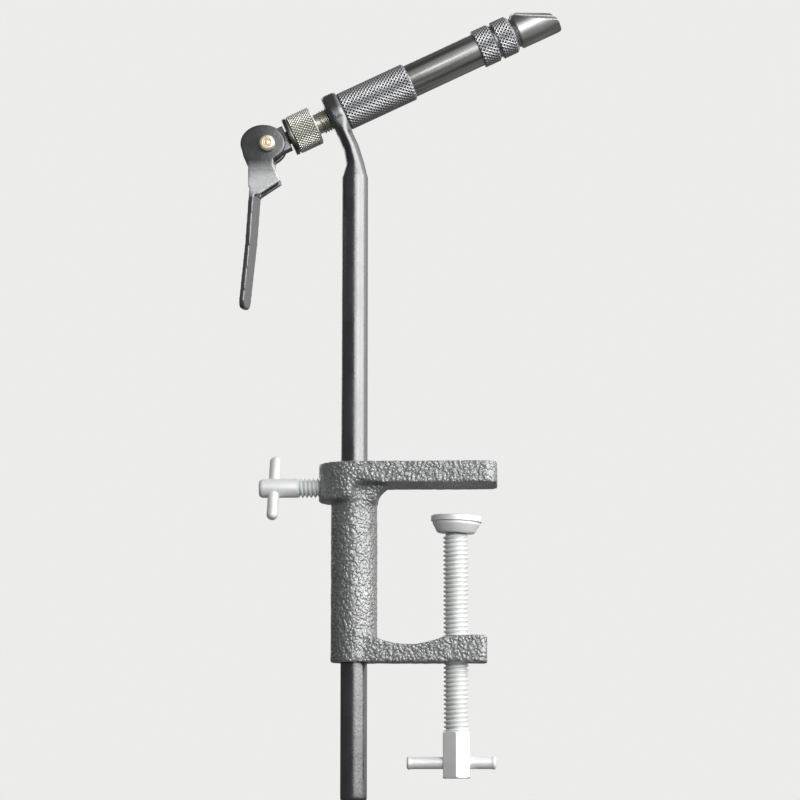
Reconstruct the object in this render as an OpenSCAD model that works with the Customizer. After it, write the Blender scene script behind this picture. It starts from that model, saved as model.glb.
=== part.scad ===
// Fly tying vise: a table clamp, a height-adjustable stem, and a tilted head
// whose cam lever draws a pair of split jaws back into a closing ring.
// Origin: clamp screw axis on the underside of the upper clamp jaw.
// +Z is up the stem, +X points from the stem to the jaw end, +Y points away
// from the viewer. The head has its own frame, whose +Z runs along the head.

/* [Clamp frame] */
// Height of the throat, from the upper jaw's underside to the screw boss
throat_h = 53.8; // [45:0.2:65]
// Distance from the stem axis to the clamp screw axis
stem_offset = 36.5; // [32:0.5:44]
// Thickness of the upper jaw plate
upper_jaw_t = 7.7; // [6:0.1:10]
// Width of the upper jaw plate, and of its half-round back end
upper_jaw_w = 25.4; // [22:0.2:32]
// Reach of the upper jaw past the clamp screw axis
upper_jaw_reach = 14.9; // [11:0.1:20]
// Corner radius of the upper jaw's tip
tip_corner_r = 4; // [1:0.1:7]
// Diameter of the cast column around the stem
column_d = 16.6; // [14:0.1:20]
// Thickness of the lower jaw at the screw boss
lower_jaw_t = 9.6; // [8:0.1:13]
// Width of the lower jaw
lower_jaw_w = 15; // [12.5:0.1:18]
// Reach of the lower jaw past the clamp screw axis
lower_jaw_reach = 11; // [8:0.1:14]
// Corner radius of the lower jaw's tip
lower_corner_r = 1.6; // [0.5:0.1:3]
// Depth of the hollow in the lower jaw's top
hollow_depth = 3.2; // [1:0.1:4]
// Radius of the hollow in the lower jaw's top
hollow_r = 29.9; // [26:0.1:34]
// Radius of the fillet under the upper jaw
jaw_fillet = 6.5; // [3:0.1:8]
// Height of the collar that holds the stem lock screw
collar_h = 13.7; // [11:0.1:17]

/* [Stem] */
// Diameter of the stem rod
stem_d = 9.5; // [8:0.1:11]
// Length of stem below the clamp frame
stem_below = 48.5; // [35:0.5:60]
// Length of straight stem above the clamp frame
stem_above = 105.3; // [80:0.5:140]
// Height of the neck, from the straight rod's end to the eye's centre
neck_h = 24.1; // [21:0.1:30]
// Sideways lean of the eye's centre from the stem axis
neck_lean = 6.9; // [5:0.1:9]
// Outer diameter of the eye
eye_d = 17; // [15:0.1:20]
// Thickness of the flattened eye
eye_t = 5.8; // [4.5:0.1:7]
// Upward tilt of the head axis, in degrees
head_tilt = 25; // [15:1:35]

/* [Clamp screw] */
// Outside diameter of the clamp screw's thread
screw_d = 9; // [7.5:0.1:10]
// Pitch of the clamp screw's thread
screw_pitch = 1.6; // [1.25:0.05:2]
// Length of the clamp screw's thread
screw_thread_l = 70; // [60:1:80]
// Length of the hexagonal head
screw_head_l = 16.6; // [13:0.1:22]
// Width of the hexagonal head across its flats
screw_head_af = 9.5; // [8:0.1:11]
// Diameter of the neck that carries the pressure pad
pad_neck_d = 3.8; // [3:0.1:4.6]
// Gap between the pressure pad and the upper jaw, as photographed
pad_open = 11; // [6:0.5:16]
// Diameter of the pressure pad
pad_d = 18.3; // [15:0.1:22]
// Height of the pressure pad
pad_h = 6.1; // [5:0.1:8]
// Height of the pad's straight rim
pad_rim_h = 2.1; // [1.5:0.1:3]
// Diameter of the pad's underside
pad_base_d = 13.4; // [11:0.1:16]
// Rocked angle of the loose pad, in degrees
pad_tilt = 2.5; // [0:0.5:3]
// Length of the clamp screw's tommy bar
tommy_l = 31.6; // [26:0.2:40]
// Diameter of the clamp screw's tommy bar
tommy_d = 4.3; // [3.5:0.1:5]
// Sideways slip of the loose tommy bar, as photographed
tommy_slip = -1.8; // [-4:0.1:4]
// Distance from the head's lower end to the tommy bar
tommy_rise = 5.5; // [4.2:0.1:8]

/* [Stem lock screw] */
// Outside diameter of the lock screw's thread
lock_d = 6.9; // [5.5:0.1:7.5]
// Pitch of the lock screw's thread
lock_pitch = 1.5; // [1:0.05:1.75]
// Length of the lock screw that stands out of the collar
lock_out_l = 21.6; // [17:0.1:30]
// Length of thread that shows outside the collar
lock_thread_out = 8.1; // [5:0.1:12]
// Height of the lock screw's axis above the collar's underside
lock_rise = 5.4; // [4.5:0.1:7]
// Length of the lock screw's bar
lock_bar_l = 27; // [22:0.5:34]
// Diameter of the lock screw's bar
lock_bar_d = 4.1; // [3:0.1:4.6]
// Distance from the lock screw's outer end to its bar
lock_bar_inset = 5.3; // [4:0.1:7]
// Turned angle of the lock screw's bar from upright, in degrees
lock_bar_turn = 30; // [0:5:90]

/* [Head] */
// Outside diameter of the barrel
barrel_d = 12.3; // [11:0.1:14]
// Wall of the barrel around the jaws
barrel_wall = 1.55; // [1.2:0.05:1.8]
// Front end of the barrel, from the eye's centre
barrel_front = 68; // [60:0.5:80]
// Outside diameter of the barrel's threaded tail
tail_d = 8.8; // [8.2:0.1:9.4]
// Pitch of the tail's thread
tail_pitch = 1.06; // [0.8:0.02:1.25]
// Wall of the long lock sleeve over the barrel
sleeve_wall = 0.89; // [0.7:0.01:1.6]
// Length of the long lock sleeve
sleeve_l = 26.8; // [22:0.1:30]
// Length of the sleeve's skirt over the barrel
skirt_l = 10.4; // [6:0.1:12]
// Wall of the two knurled front rings over the barrel
ring_wall = 0.94; // [0.8:0.01:1.6]
// Length of the rear one, which locks the other
ring_l = 7; // [6:0.1:8]
// Length of the front one, which closes the jaws
closing_l = 6.6; // [6:0.1:8]
// Gap between the two front rings
ring_gap = 0.6; // [0.4:0.1:1]
// How far the front one covers the barrel's end
ring_lap = 2.9; // [2:0.1:3.5]
// Diameter of the adjusting nut
nut_d = 14.5; // [13:0.1:16]
// Length of the adjusting nut
nut_l = 9.3; // [8:0.1:11]
// Front end of the adjusting nut, behind the eye's centre
nut_front = 8.3; // [7.5:0.1:10]
// Forward travel left for the adjusting nut
nut_travel = 3; // [1.5:0.1:3.5]
// Thickness of the cam washer
washer_t = 1.5; // [1:0.05:2]
// Diameter of the cam washer
washer_d = 14.2; // [12.6:0.1:15]

/* [Jaws and drawbar] */
// Step from the jaws' closing cone up to the nose
nose_step = 0.9; // [0.6:0.05:1.5]
// Length of the jaw nose
nose_l = 15.6; // [12:0.1:22]
// Gap between the nose and the front ring with the jaws closed
nose_clear = 0.15; // [0.1:0.05:0.6]
// Height of the nose left standing at its tip
tip_h = 6; // [4.5:0.1:8]
// Length of full nose before its sloping top
nose_flat_l = 1.6; // [1:0.1:6]
// Gap between the two jaws when they are closed
jaw_slot = 0.2; // [0.2:0.05:0.5]
// Rolled angle of the loose jaws about the head axis, in degrees
jaw_roll = 28; // [0:1:45]
// Clearance between the jaws' shanks and the barrel
shank_gap = 0.5; // [0.45:0.05:0.8]
// Rise of the closing cone per unit of its length
cone_slope = 0.3; // [0.25:0.01:0.36]
// Rearward travel of the drawbar from open to closed jaws
draw_travel = 0.95; // [0.6:0.05:1]
// Diameter of the drawbar's rod
rod_d = 5; // [4:0.1:5.4]

/* [Cam lever] */
// Distance from the cam washer back to the lever's pivot
pivot_reach = 8.3; // [8.3:0.02:10]
// Overall width of the lever's fork
fork_w = 10; // [9:0.1:12]
// Thickness of the lever's sheet
sheet_t = 1.95; // [1.4:0.05:2.2]
// Long half-axis of the cam's rounded head
cam_long = 8.3; // [7.4:0.1:8.5]
// Short half-axis of the cam's rounded head
cam_short = 6.9; // [6:0.1:7.2]
// Length of the lever below its pivot
lever_l = 60.3; // [50:0.1:75]
// Width of the blade where it leaves the fork
blade_w = 10; // [8:0.1:12]
// Width of the blade at its tip
blade_tip_w = 9; // [5:0.1:10]
// Twist of the blade about its length, in degrees
blade_twist = 11; // [0:1:15]
// Diameter of the brass pivot's head
pivot_head_d = 5.9; // [5:0.1:7]
// Height of the brass pivot's head
pivot_head_h = 2.6; // [1:0.1:3.5]
// Diameter of the brass pivot's shank
pivot_d = 4; // [3:0.1:4.4]

/* [Hidden] */

$fn = 64;
// Number of sides of the rounded pieces inside a hull
hull_fn = 32;

// Overrun of a cutting shape past the face it cuts
over = 1;
// Radial clearance of a sliding or running fit
run_gap = 0.06;
// Radial clearance of a fixed pin or pressed bar
pin_gap = 0.02;
// Clearance between different moving pieces
free_gap = 0.3;
// Clearance between faces that are screwed up against each other
seat_gap = 0.03;
// Small chamfer on turned edges
edge = 0.5;

// Clamp frame heights, with the upper jaw's underside at zero
lower_top = -throat_h;
lower_bottom = -throat_h - lower_jaw_t;
collar_bottom = upper_jaw_t - collar_h;
collar_r = upper_jaw_w / 2;
column_r = column_d / 2;
// Where the hollow's centre lies, as a share of the stem's distance
hollow_share = 0.46;

// Stem neck stations as shares of the neck's height and lean
neck_height_shares = [0, 0.23, 0.477, 0.705];
neck_lean_shares = [0, -0.01, 0.2, 0.545];
neck_tilt_shares = [0, 0.32, 0.64, 0.84];
// Flattening of each station between the rod and the eye
neck_flat_shares = [0, 0.78, 0.97, 1.05];
neck_width_shares = [0, 0.2, 0.467, 0.733];
neck_slice = 0.4;
stem_top = upper_jaw_t + stem_above;
eye_x = -stem_offset - neck_lean;
eye_z = stem_top + neck_h;
eye_bore_d = tail_d + 2 * run_gap;

// Thread depth as a share of its pitch, and the flat at its crest and root
thread_depth_share = 0.56;
thread_flat_share = 0.08;

// Clamp screw heights
pad_top = -pad_open;
pad_bottom = -pad_open - pad_h;
thread_top = pad_bottom - 0.5;
thread_bottom = thread_top - screw_thread_l;
screw_bottom = thread_bottom - screw_head_l;
tommy_z = screw_bottom + tommy_rise;
tommy_bore_d = tommy_d + 2 * run_gap;
// Swaged ends of the tommy bar
swage_d = tommy_d + 0.7;
swage_l = 0.9;
swage_peak = 0.8;
head_taper = 1.1;
// Socket in the pressure pad for the riveted neck
socket_d = 9.6;
socket_depth = 2.4;
rivet_d = 6.6;
rivet_h = 1.1;
pad_hole_d = pad_neck_d + 4 * free_gap;
pad_step = 0.7;
pad_ledge = 0.9;

// Lock screw places
lock_end = -stem_offset - collar_r - lock_out_l;
lock_tip = -stem_offset - stem_d / 2 - seat_gap;
lock_bar_x = lock_end + lock_bar_inset;
lock_z = collar_bottom + lock_rise;
lock_bar_bore_d = lock_bar_d + 2 * pin_gap;
lock_edge = 0.9;

// Head places, measured along the head axis from the eye's centre
eye_front = eye_t / 2;
sleeve_back = eye_front + seat_gap;
sleeve_front = sleeve_back + sleeve_l;
barrel_back = sleeve_front - skirt_l;
tail_wall_d = rod_d + 2 * free_gap;
// Solid shoulder at the barrel's back end, which the return spring rests on
shoulder_l = 4.2;
chamber_back = barrel_back + shoulder_l;
sleeve_d = barrel_d + 2 * (run_gap + sleeve_wall);
closing_back = barrel_front - ring_lap;
closing_front = closing_back + closing_l;
ring_front = closing_back - ring_gap;
ring_start = ring_front - ring_l;
ring_d = barrel_d + 2 * (run_gap + ring_wall);
chamber_d = barrel_d - 2 * barrel_wall;
ring_bore_d = barrel_d + 2 * run_gap;
nut_back = -nut_front - nut_l;
nut_gap = 0.15;
washer_front = nut_back - nut_gap;
washer_back = washer_front - washer_t;
tail_back = washer_front + nut_travel + free_gap;
// Plain relief turned in the tail in front of the nut
relief_l = 1.8;
relief_d = tail_d - 2 * tail_pitch * thread_depth_share;
// Clearance left behind the skirt's counterbore
skirt_gap = 0.3;

// Jaw places along the head axis
nose_back = closing_front + draw_travel + nose_clear;
nose_front = nose_back + nose_l;
// Room for the return spring behind the drawbar's cup
spring_room = 15;
cup_back = chamber_back + spring_room;
cup_l = 7.5;
cup_wall = 0.6;
cup_lip = 0.7;
cup_d = chamber_d - 2 * free_gap;
cup_lip_l = 2.4;
cup_bore_d = cup_d - 2 * cup_wall;
cup_lip_d = cup_bore_d - 2 * cup_lip;
shank_d = chamber_d - 2 * shank_gap;
foot_l = 1.5;
foot_d = cup_bore_d - 2 * free_gap;
foot_neck_d = cup_lip_d - 2 * free_gap;
cup_front = cup_back + cup_l;
foot_front = cup_front - cup_lip_l - free_gap;
foot_back = foot_front - foot_l;
shank_back = cup_front + free_gap;
tip_notch = 1.2;
// Closing cone's radius at the ring's back end and at its front end
ring_cone_r = chamber_d / 2;
ring_cone_front_r = ring_cone_r + cone_slope * (closing_front - barrel_front);
// The jaws' own cone, placed so that it fits the ring's cone once drawn back
jaw_cone_back = barrel_front + draw_travel + (shank_d / 2 + run_gap - ring_cone_r) / cone_slope;
jaw_cone_front_r = ring_cone_front_r - run_gap;
nose_r = jaw_cone_front_r + nose_step;
nose_d = 2 * nose_r;
jaw_cone_front = closing_front + draw_travel;
// Where the loose jaws pivot, and how far each one stands open
jaw_root = foot_front - foot_l / 2;
jaw_open = atan(0.96 * draw_travel * cone_slope / (closing_front - jaw_root));

// Springs
return_wire_d = 0.9;
return_turns = 8;
return_coil_d = (rod_d + chamber_d) / 2;
spreader_wire_d = 0.45;
spreader_turns = 3;
spreader_coil_d = 2.4;
spreader_pocket_d = 3.6;
spreader_pocket_depth = 1.9;
spreader_inset = 7.7;
spreader_s = shank_back + spreader_inset;
spreader_seat = 0.2;
spring_rings = 8;
spring_sides = 6;

// Cam lever places, in the lever's own plane with its pivot at zero
cam_centre_x = -1.7;
cam_centre_z = 0.5;
cam_steps = 48;
cheek_gap_w = fork_w - 2 * sheet_t;
eye_block_t = cheek_gap_w - 2 * free_gap;
eye_block_r = 4.4;
// Gap between the drawbar's eye block and the washer
block_gap = 0.6;
block_front = washer_back - block_gap;
pivot_back = pivot_reach - washer_back;
stud_wall = 0.95;
stud_d = eye_block_t - 2 * stud_wall;
stud_l = 4.4;
pivot_bore_d = pivot_d + 2 * pin_gap;
pivot_run_d = pivot_d + 2 * run_gap;
pivot_edge = 0.6;
pivot_dimple_d = 1.6;
pivot_ring_d = 2.6;
pivot_ring_w = 0.35;
pivot_peen_d = 5.3;
pivot_peen_h = 0.8;
// Cheek outline under the cam, clockwise from its right, as shares of the
// cam's long half-axis and of the cheek's length
cheek_l = 18.6;
cheek_x_shares = [0.8, 0.52, 0.36, 0.27, 0.29, 0.385, 0.58, -0.36, -0.6, -0.85, -0.85, -0.95, -1.08, -1.2];
cheek_z_shares = [-0.02, -0.13, -0.23, -0.32, -0.41, -0.51, -0.72, -1, -1, -0.83, -0.4, -0.35, -0.22, 0.04];
// Blade's centre line, as places across the photograph and down the lever
web_x = -6;
web_top_z = -7.6;
web_low_z = -15;
blade_top_x = -4.9;
blade_top_z = -18.4;
blade_mid_x = -6.1;
blade_mid_share = 0.6;
blade_tip_x = -8.6;
// Where the blade starts inside the fork, above the web's end
blade_lap = 1.4;
blade_corner = 2.2;

// Turned profile of a thread made of rings, from z = 0 up to length
function thread_profile(d, pitch, length, core = 0) =
    let (turns = floor(length / pitch), depth = pitch * thread_depth_share,
        flat = pitch * thread_flat_share, rest = length - turns * pitch)
    concat([[core / 2, 0]],
        [for (i = [0 : turns - 1], p = [
            [d / 2 - depth, i * pitch], [d / 2 - depth, i * pitch + flat],
            [d / 2, (i + 1 / 2) * pitch], [d / 2, (i + 1 / 2) * pitch + flat]]) p],
        [[d / 2 - depth, turns * pitch], [d / 2 - depth, turns * pitch + rest],
            [core / 2, length]]);

module thread_rod(d, pitch, length) {
    rotate_extrude()
        polygon(thread_profile(d, pitch, length));
}

// Solid of revolution with both outer edges chamfered
module turned(d, length, chamfer = edge) {
    rotate_extrude()
        polygon([[0, 0], [d / 2 - chamfer, 0], [d / 2, chamfer], [d / 2, length - chamfer],
            [d / 2 - chamfer, length], [0, length]]);
}

// Straight hole along +Z from one height to another
module hole(d, from, to) {
    translate([0, 0, from])
        cylinder(d = d, h = to - from);
}

// Coil of round wire around +Z, from z = 0 up to length between its end faces
function coil_points(coil_d, wire_d, turns, length) =
    [for (i = [0 : turns * spring_rings])
        let (a = i * 360 / spring_rings,
            z = wire_d / 2 + (length - wire_d) * i / (turns * spring_rings))
        [coil_d / 2 * cos(a), coil_d / 2 * sin(a), z]];

module coil_spring(coil_d, wire_d, turns, length) {
    path = coil_points(coil_d, wire_d, turns, length);
    last = len(path) - 1;
    rise = (length - wire_d) / turns;
    lean = atan(rise / (PI * coil_d));
    ring_pts = [for (i = [0 : last], j = [0 : spring_sides - 1])
        let (a = i * 360 / spring_rings, b = j * 360 / spring_sides,
            out = wire_d / 2 * cos(b), up = wire_d / 2 * sin(b))
        path[i] + [out * cos(a) + up * sin(lean) * sin(a),
            out * sin(a) - up * sin(lean) * cos(a), up * cos(lean)]];
    sides = [for (i = [0 : last - 1], j = [0 : spring_sides - 1], half = [0, 1])
        let (k = (j + 1) % spring_sides, near = i * spring_sides, far = near + spring_sides)
        half == 0 ? [near + j, near + k, far + k] : [near + j, far + k, far + j]];
    start = [for (j = [1 : spring_sides - 2]) [0, j + 1, j]];
    end = [for (j = [1 : spring_sides - 2])
        [last * spring_sides, last * spring_sides + j, last * spring_sides + j + 1]];
    echo(str("least gap between turns ", min([for (i = [0 : last - spring_rings])
        norm(path[i + spring_rings] - path[i]) - wire_d])));
    polyhedron(points = ring_pts, faces = [for (f = concat(start, sides, end))
        [for (n = [len(f) - 1 : -1 : 0]) f[n]]]);
}

// Frame whose +Z runs along the head, with the eye's centre at zero
module on_head() {
    translate([eye_x, 0, eye_z])
        rotate([0, 90 - head_tilt, 0])
            children();
}

// The same frame, rolled with the loose jaws; the jaws' split lies at y = 0
module on_jaws() {
    on_head()
        rotate([0, 0, jaw_roll])
            children();
}

// Frame of the lever's plane: x and y across the photograph, z toward the viewer
module on_lever() {
    translate([eye_x - pivot_back * cos(head_tilt), 0, eye_z - pivot_back * sin(head_tilt)])
        rotate([90, 0, 0])
            children();
}

// Plan outline of the upper jaw plate
module upper_jaw_plan() {
    tip = upper_jaw_reach;
    polygon([[-stem_offset, -collar_r], [tip - tip_corner_r, -collar_r],
        [tip, tip_corner_r - collar_r], [tip, collar_r - tip_corner_r],
        [tip - tip_corner_r, collar_r], [-stem_offset, collar_r]]);
    for (side = [-1, 1])
        translate([tip - tip_corner_r, side * (collar_r - tip_corner_r)])
            circle(r = tip_corner_r);
    translate([-stem_offset, 0])
        circle(r = collar_r);
}

module jaw_fillet_web() {
    face = -stem_offset + column_r;
    translate([0, lower_jaw_w / 2, 0])
        rotate([90, 0, 0])
            linear_extrude(lower_jaw_w)
                difference() {
                    translate([face - column_r / 2, -jaw_fillet])
                        square([column_r / 2 + jaw_fillet, jaw_fillet]);
                    translate([face + jaw_fillet, -jaw_fillet])
                        circle(r = jaw_fillet);
                }
}

module lower_jaw() {
    back = -stem_offset;
    tip = lower_jaw_reach;
    half = lower_jaw_w / 2;
    difference() {
        translate([0, 0, lower_bottom])
            linear_extrude(lower_jaw_t + hollow_depth)
                union() {
                    polygon([[back, -half], [tip - lower_corner_r, -half],
                        [tip, lower_corner_r - half], [tip, half - lower_corner_r],
                        [tip - lower_corner_r, half], [back, half]]);
                    for (side = [-1, 1])
                        translate([tip - lower_corner_r, side * (half - lower_corner_r)])
                            circle(r = lower_corner_r);
                }
        translate([back * hollow_share, half + over, lower_top - hollow_depth + hollow_r])
            rotate([90, 0, 0])
                cylinder(r = hollow_r, h = lower_jaw_w + 2 * over);
        translate([back * hollow_share, -half - over, lower_top])
            cube([tip - back * hollow_share + over, lower_jaw_w + 2 * over, hollow_depth + over]);
    }
}

// Deeper back half of the upper jaw's round end, which holds the lock screw
module collar() {
    difference() {
        translate([-stem_offset, 0, collar_bottom])
            rotate_extrude()
                polygon([[0, 0], [collar_r - edge, 0], [collar_r, edge],
                    [collar_r, upper_jaw_t - collar_bottom], [0, upper_jaw_t - collar_bottom]]);
        translate([-stem_offset, -collar_r - over, collar_bottom - over])
            cube([collar_r + over, 2 * (collar_r + over), collar_h + 2 * over]);
    }
}

module clamp_frame() {
    color("#26272a")
        difference() {
            union() {
                linear_extrude(upper_jaw_t)
                    upper_jaw_plan();
                collar();
                translate([-stem_offset, 0, lower_bottom])
                    cylinder(d = column_d, h = upper_jaw_t - lower_bottom);
                jaw_fillet_web();
                lower_jaw();
            }
            translate([-stem_offset, 0, 0])
                hole(stem_d + 2 * run_gap, lower_bottom - over, upper_jaw_t + over);
            hole(screw_d + 2 * run_gap, lower_bottom - over, lower_top + over);
            translate([-stem_offset - collar_r - over, 0, lock_z])
                rotate([0, 90, 0])
                    cylinder(d = lock_d + 2 * run_gap, h = collar_r + over);
        }
}

// One slice of the stem's neck, between the round rod and the flat eye
module neck_slice(i) {
    height = neck_h * neck_height_shares[i];
    lean = neck_lean * neck_lean_shares[i];
    thick = stem_d + (eye_t - stem_d) * neck_flat_shares[i];
    wide = stem_d + (eye_d - stem_d) * neck_width_shares[i];
    translate([-stem_offset - lean, 0, stem_top + height])
        rotate([0, -head_tilt * neck_tilt_shares[i], 0])
            linear_extrude(neck_slice)
                scale([thick, wide])
                    circle(d = 1, $fn = hull_fn);
}

module stem() {
    foot = lower_bottom - stem_below;
    color("#1b1c1f")
        difference() {
            union() {
                translate([-stem_offset, 0, foot])
                    cylinder(d = stem_d, h = stem_top - foot + neck_slice);
                for (i = [0 : len(neck_height_shares) - 2])
                    hull() {
                        neck_slice(i);
                        neck_slice(i + 1);
                    }
                hull() {
                    neck_slice(len(neck_height_shares) - 1);
                    on_head()
                        translate([0, 0, -eye_t / 2])
                            cylinder(d = eye_d - 2 * edge, h = eye_t, $fn = hull_fn);
                }
                on_head()
                    translate([0, 0, -eye_t / 2])
                        turned(eye_d, eye_t, 2 * edge);
            }
            on_head()
                hole(eye_bore_d, -eye_t, eye_t);
        }
}

module stem_lock_screw() {
    plain_l = lock_out_l - lock_thread_out;
    thread_l = lock_tip - lock_end - plain_l;
    color("#d2d5d6")
        translate([lock_end, 0, lock_z])
            rotate([0, 90, 0])
                difference() {
                    union() {
                        turned(lock_d, plain_l, lock_edge);
                        translate([0, 0, lock_edge])
                            cylinder(d = lock_d, h = plain_l - lock_edge);
                        translate([0, 0, plain_l])
                            thread_rod(lock_d, lock_pitch, thread_l);
                    }
                    translate([0, 0, lock_bar_inset])
                        rotate([0, 0, -lock_bar_turn])
                            rotate([0, 90, 0])
                                translate([0, 0, -lock_d])
                                    cylinder(d = lock_bar_bore_d, h = 2 * lock_d);
                }
}

module lock_screw_bar() {
    color("#d2d5d6")
        translate([lock_bar_x, 0, lock_z])
            rotate([-lock_bar_turn, 0, 0])
                translate([0, 0, -lock_bar_l / 2])
                    turned(lock_bar_d, lock_bar_l, lock_bar_d / 4);
}

module clamp_screw() {
    rivet_top = pad_top - (socket_depth - rivet_h - free_gap);
    color("#d2d5d6")
        difference() {
            union() {
                translate([0, 0, thread_bottom])
                    thread_rod(screw_d, screw_pitch, screw_thread_l);
                translate([0, 0, thread_bottom - screw_pitch])
                    cylinder(d = screw_d, h = 2 * screw_pitch);
                intersection() {
                    translate([0, 0, screw_bottom])
                        rotate([0, 0, 30])
                            cylinder(d = screw_head_af / cos(30), h = screw_head_l, $fn = 6);
                    translate([0, 0, screw_bottom])
                        turned(screw_head_af / cos(30), screw_head_l, head_taper);
                }
                translate([0, 0, thread_top - screw_pitch])
                    cylinder(d = pad_neck_d, h = rivet_top - thread_top + screw_pitch - edge);
                translate([0, 0, rivet_top - rivet_h])
                    turned(rivet_d, rivet_h, rivet_h / 3);
            }
            translate([-screw_d, 0, tommy_z])
                rotate([0, 90, 0])
                    cylinder(d = tommy_bore_d, h = 2 * screw_d);
        }
}

module clamp_screw_bar() {
    half = tommy_l / 2;
    color("#d2d5d6")
        translate([tommy_slip, 0, tommy_z])
            rotate([0, 90, 0])
                rotate_extrude()
                    polygon([[0, -half], [swage_d / 2 - swage_peak / 2, -half],
                        [swage_d / 2, swage_peak / 2 - half], [swage_d / 2, swage_l - half],
                        [tommy_d / 2, 2 * swage_l - half], [tommy_d / 2, half - 2 * swage_l],
                        [swage_d / 2, half - swage_l - swage_peak],
                        [swage_d / 2, half - swage_peak], [0, half]]);
}

module pressure_pad() {
    color("#d6d9da")
        translate([0, 0, pad_bottom])
            rotate([0, pad_tilt, 0])
                rotate_extrude()
                    polygon([[pad_hole_d / 2, 0], [pad_base_d / 2, 0],
                        [pad_d / 2 - pad_step, pad_h - pad_rim_h - pad_ledge],
                        [pad_d / 2 - pad_step, pad_h - pad_rim_h],
                        [pad_d / 2, pad_h - pad_rim_h], [pad_d / 2, pad_h - edge],
                        [pad_d / 2 - edge, pad_h], [socket_d / 2, pad_h],
                        [socket_d / 2, pad_h - socket_depth],
                        [pad_hole_d / 2, pad_h - socket_depth]]);
}

module barrel() {
    color("#3a3b40")
        on_head()
            difference() {
                union() {
                    translate([0, 0, tail_back])
                        thread_rod(tail_d, tail_pitch, -nut_front - tail_back);
                    translate([0, 0, -nut_front - edge])
                        cylinder(d = relief_d, h = relief_l + 2 * edge);
                    translate([0, 0, relief_l - nut_front])
                        thread_rod(tail_d, tail_pitch, nut_front - relief_l - eye_front);
                    translate([0, 0, -eye_front])
                        cylinder(d = tail_d, h = barrel_back + eye_front + edge);
                    translate([0, 0, barrel_back])
                        turned(barrel_d, barrel_front - barrel_back);
                }
                hole(tail_wall_d, tail_back - over, chamber_back + over);
                hole(chamber_d, chamber_back, barrel_front + over);
            }
}

module lock_sleeve() {
    color("#4b4c50")
        on_head()
            difference() {
                translate([0, 0, sleeve_back])
                    turned(sleeve_d, sleeve_l);
                hole(tail_d + 2 * run_gap, sleeve_back - over, sleeve_front + over);
                hole(barrel_d + 2 * run_gap, barrel_back - skirt_gap, sleeve_front + over);
            }
}

// A knurled ring, square at the back and chamfered at the front
module front_ring(length) {
    rotate_extrude()
        polygon([[0, 0], [ring_d / 2 - edge / 2, 0], [ring_d / 2, edge / 2],
            [ring_d / 2, length - 2 * edge], [ring_d / 2 - 2 * edge, length], [0, length]]);
}

module ring_lock_nut() {
    color("#4b4c50")
        on_head()
            difference() {
                translate([0, 0, ring_start])
                    front_ring(ring_l);
                hole(ring_bore_d, ring_start - over, ring_front + over);
            }
}

module closing_ring() {
    color("#4b4c50")
        on_head()
            difference() {
                translate([0, 0, closing_back])
                    front_ring(closing_l);
                hole(ring_bore_d, closing_back - over, barrel_front + seat_gap);
                rotate_extrude()
                    polygon([[0, barrel_front], [ring_cone_r, barrel_front],
                        [ring_cone_front_r, closing_front],
                        [ring_cone_front_r, closing_front + over], [0, closing_front + over]]);
            }
}

// Both closed jaws in one turned piece, before they are split; x points down
module jaw_blank() {
    difference() {
        rotate_extrude()
            polygon([[0, foot_back], [foot_d / 2, foot_back], [foot_d / 2, foot_front],
                [foot_neck_d / 2, foot_front], [foot_neck_d / 2, shank_back],
                [shank_d / 2, shank_back], [shank_d / 2, jaw_cone_back],
                [jaw_cone_front_r, jaw_cone_front], [jaw_cone_front_r, nose_back],
                [nose_r - edge, nose_back],
                [nose_r, nose_back + edge], [nose_r, nose_front], [0, nose_front]]);
        // Sloping top of the nose
        translate([0, nose_r + over, 0])
            rotate([90, 0, 0])
                linear_extrude(nose_d + 2 * over)
                    polygon([[-nose_r - over, nose_back + nose_flat_l],
                        [-nose_r, nose_back + nose_flat_l], [nose_r - tip_h, nose_front],
                        [nose_r - tip_h, nose_front + over], [-nose_r - over, nose_front + over]]);
        // Small chamfer under the tip
        translate([0, nose_r + over, 0])
            rotate([90, 0, 0])
                linear_extrude(nose_d + 2 * over)
                    polygon([[nose_r - tip_notch, nose_front + over],
                        [nose_r - tip_notch, nose_front], [nose_r, nose_front - 2 * tip_notch],
                        [nose_r + over, nose_front - 2 * tip_notch],
                        [nose_r + over, nose_front + over]]);
    }
}

// One jaw: the blank's half on one side of the split, with its spring pocket
module jaw_half(side) {
    reach = nose_d;
    difference() {
        jaw_blank();
        translate([-reach, side > 0 ? jaw_slot / 2 - reach : -jaw_slot / 2, foot_back - over])
            cube([2 * reach, reach, nose_front - foot_back + 2 * over]);
        translate([0, 0, spreader_s])
            rotate([90, 0, 0])
                translate([0, 0, -jaw_slot / 2 - spreader_pocket_depth])
                    cylinder(d = spreader_pocket_d, h = jaw_slot + 2 * spreader_pocket_depth);
    }
}

// One jaw, swung open about its root
module open_jaw(side) {
    on_jaws()
        translate([0, 0, jaw_root])
            rotate([-side * jaw_open, 0, 0])
                translate([0, 0, -jaw_root])
                    jaw_half(side);
}

module jaw_near() {
    color("#4a4543")
        open_jaw(-1);
}

module jaw_far() {
    color("#4a4543")
        open_jaw(1);
}

module jaw_spreader_spring() {
    length = jaw_slot + 2 * (spreader_pocket_depth - spreader_seat);
    color("#8c8f92")
        on_jaws()
            translate([0, length / 2, spreader_s])
                rotate([90, 0, 0])
                    coil_spring(spreader_coil_d, spreader_wire_d, spreader_turns, length);
}

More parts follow.
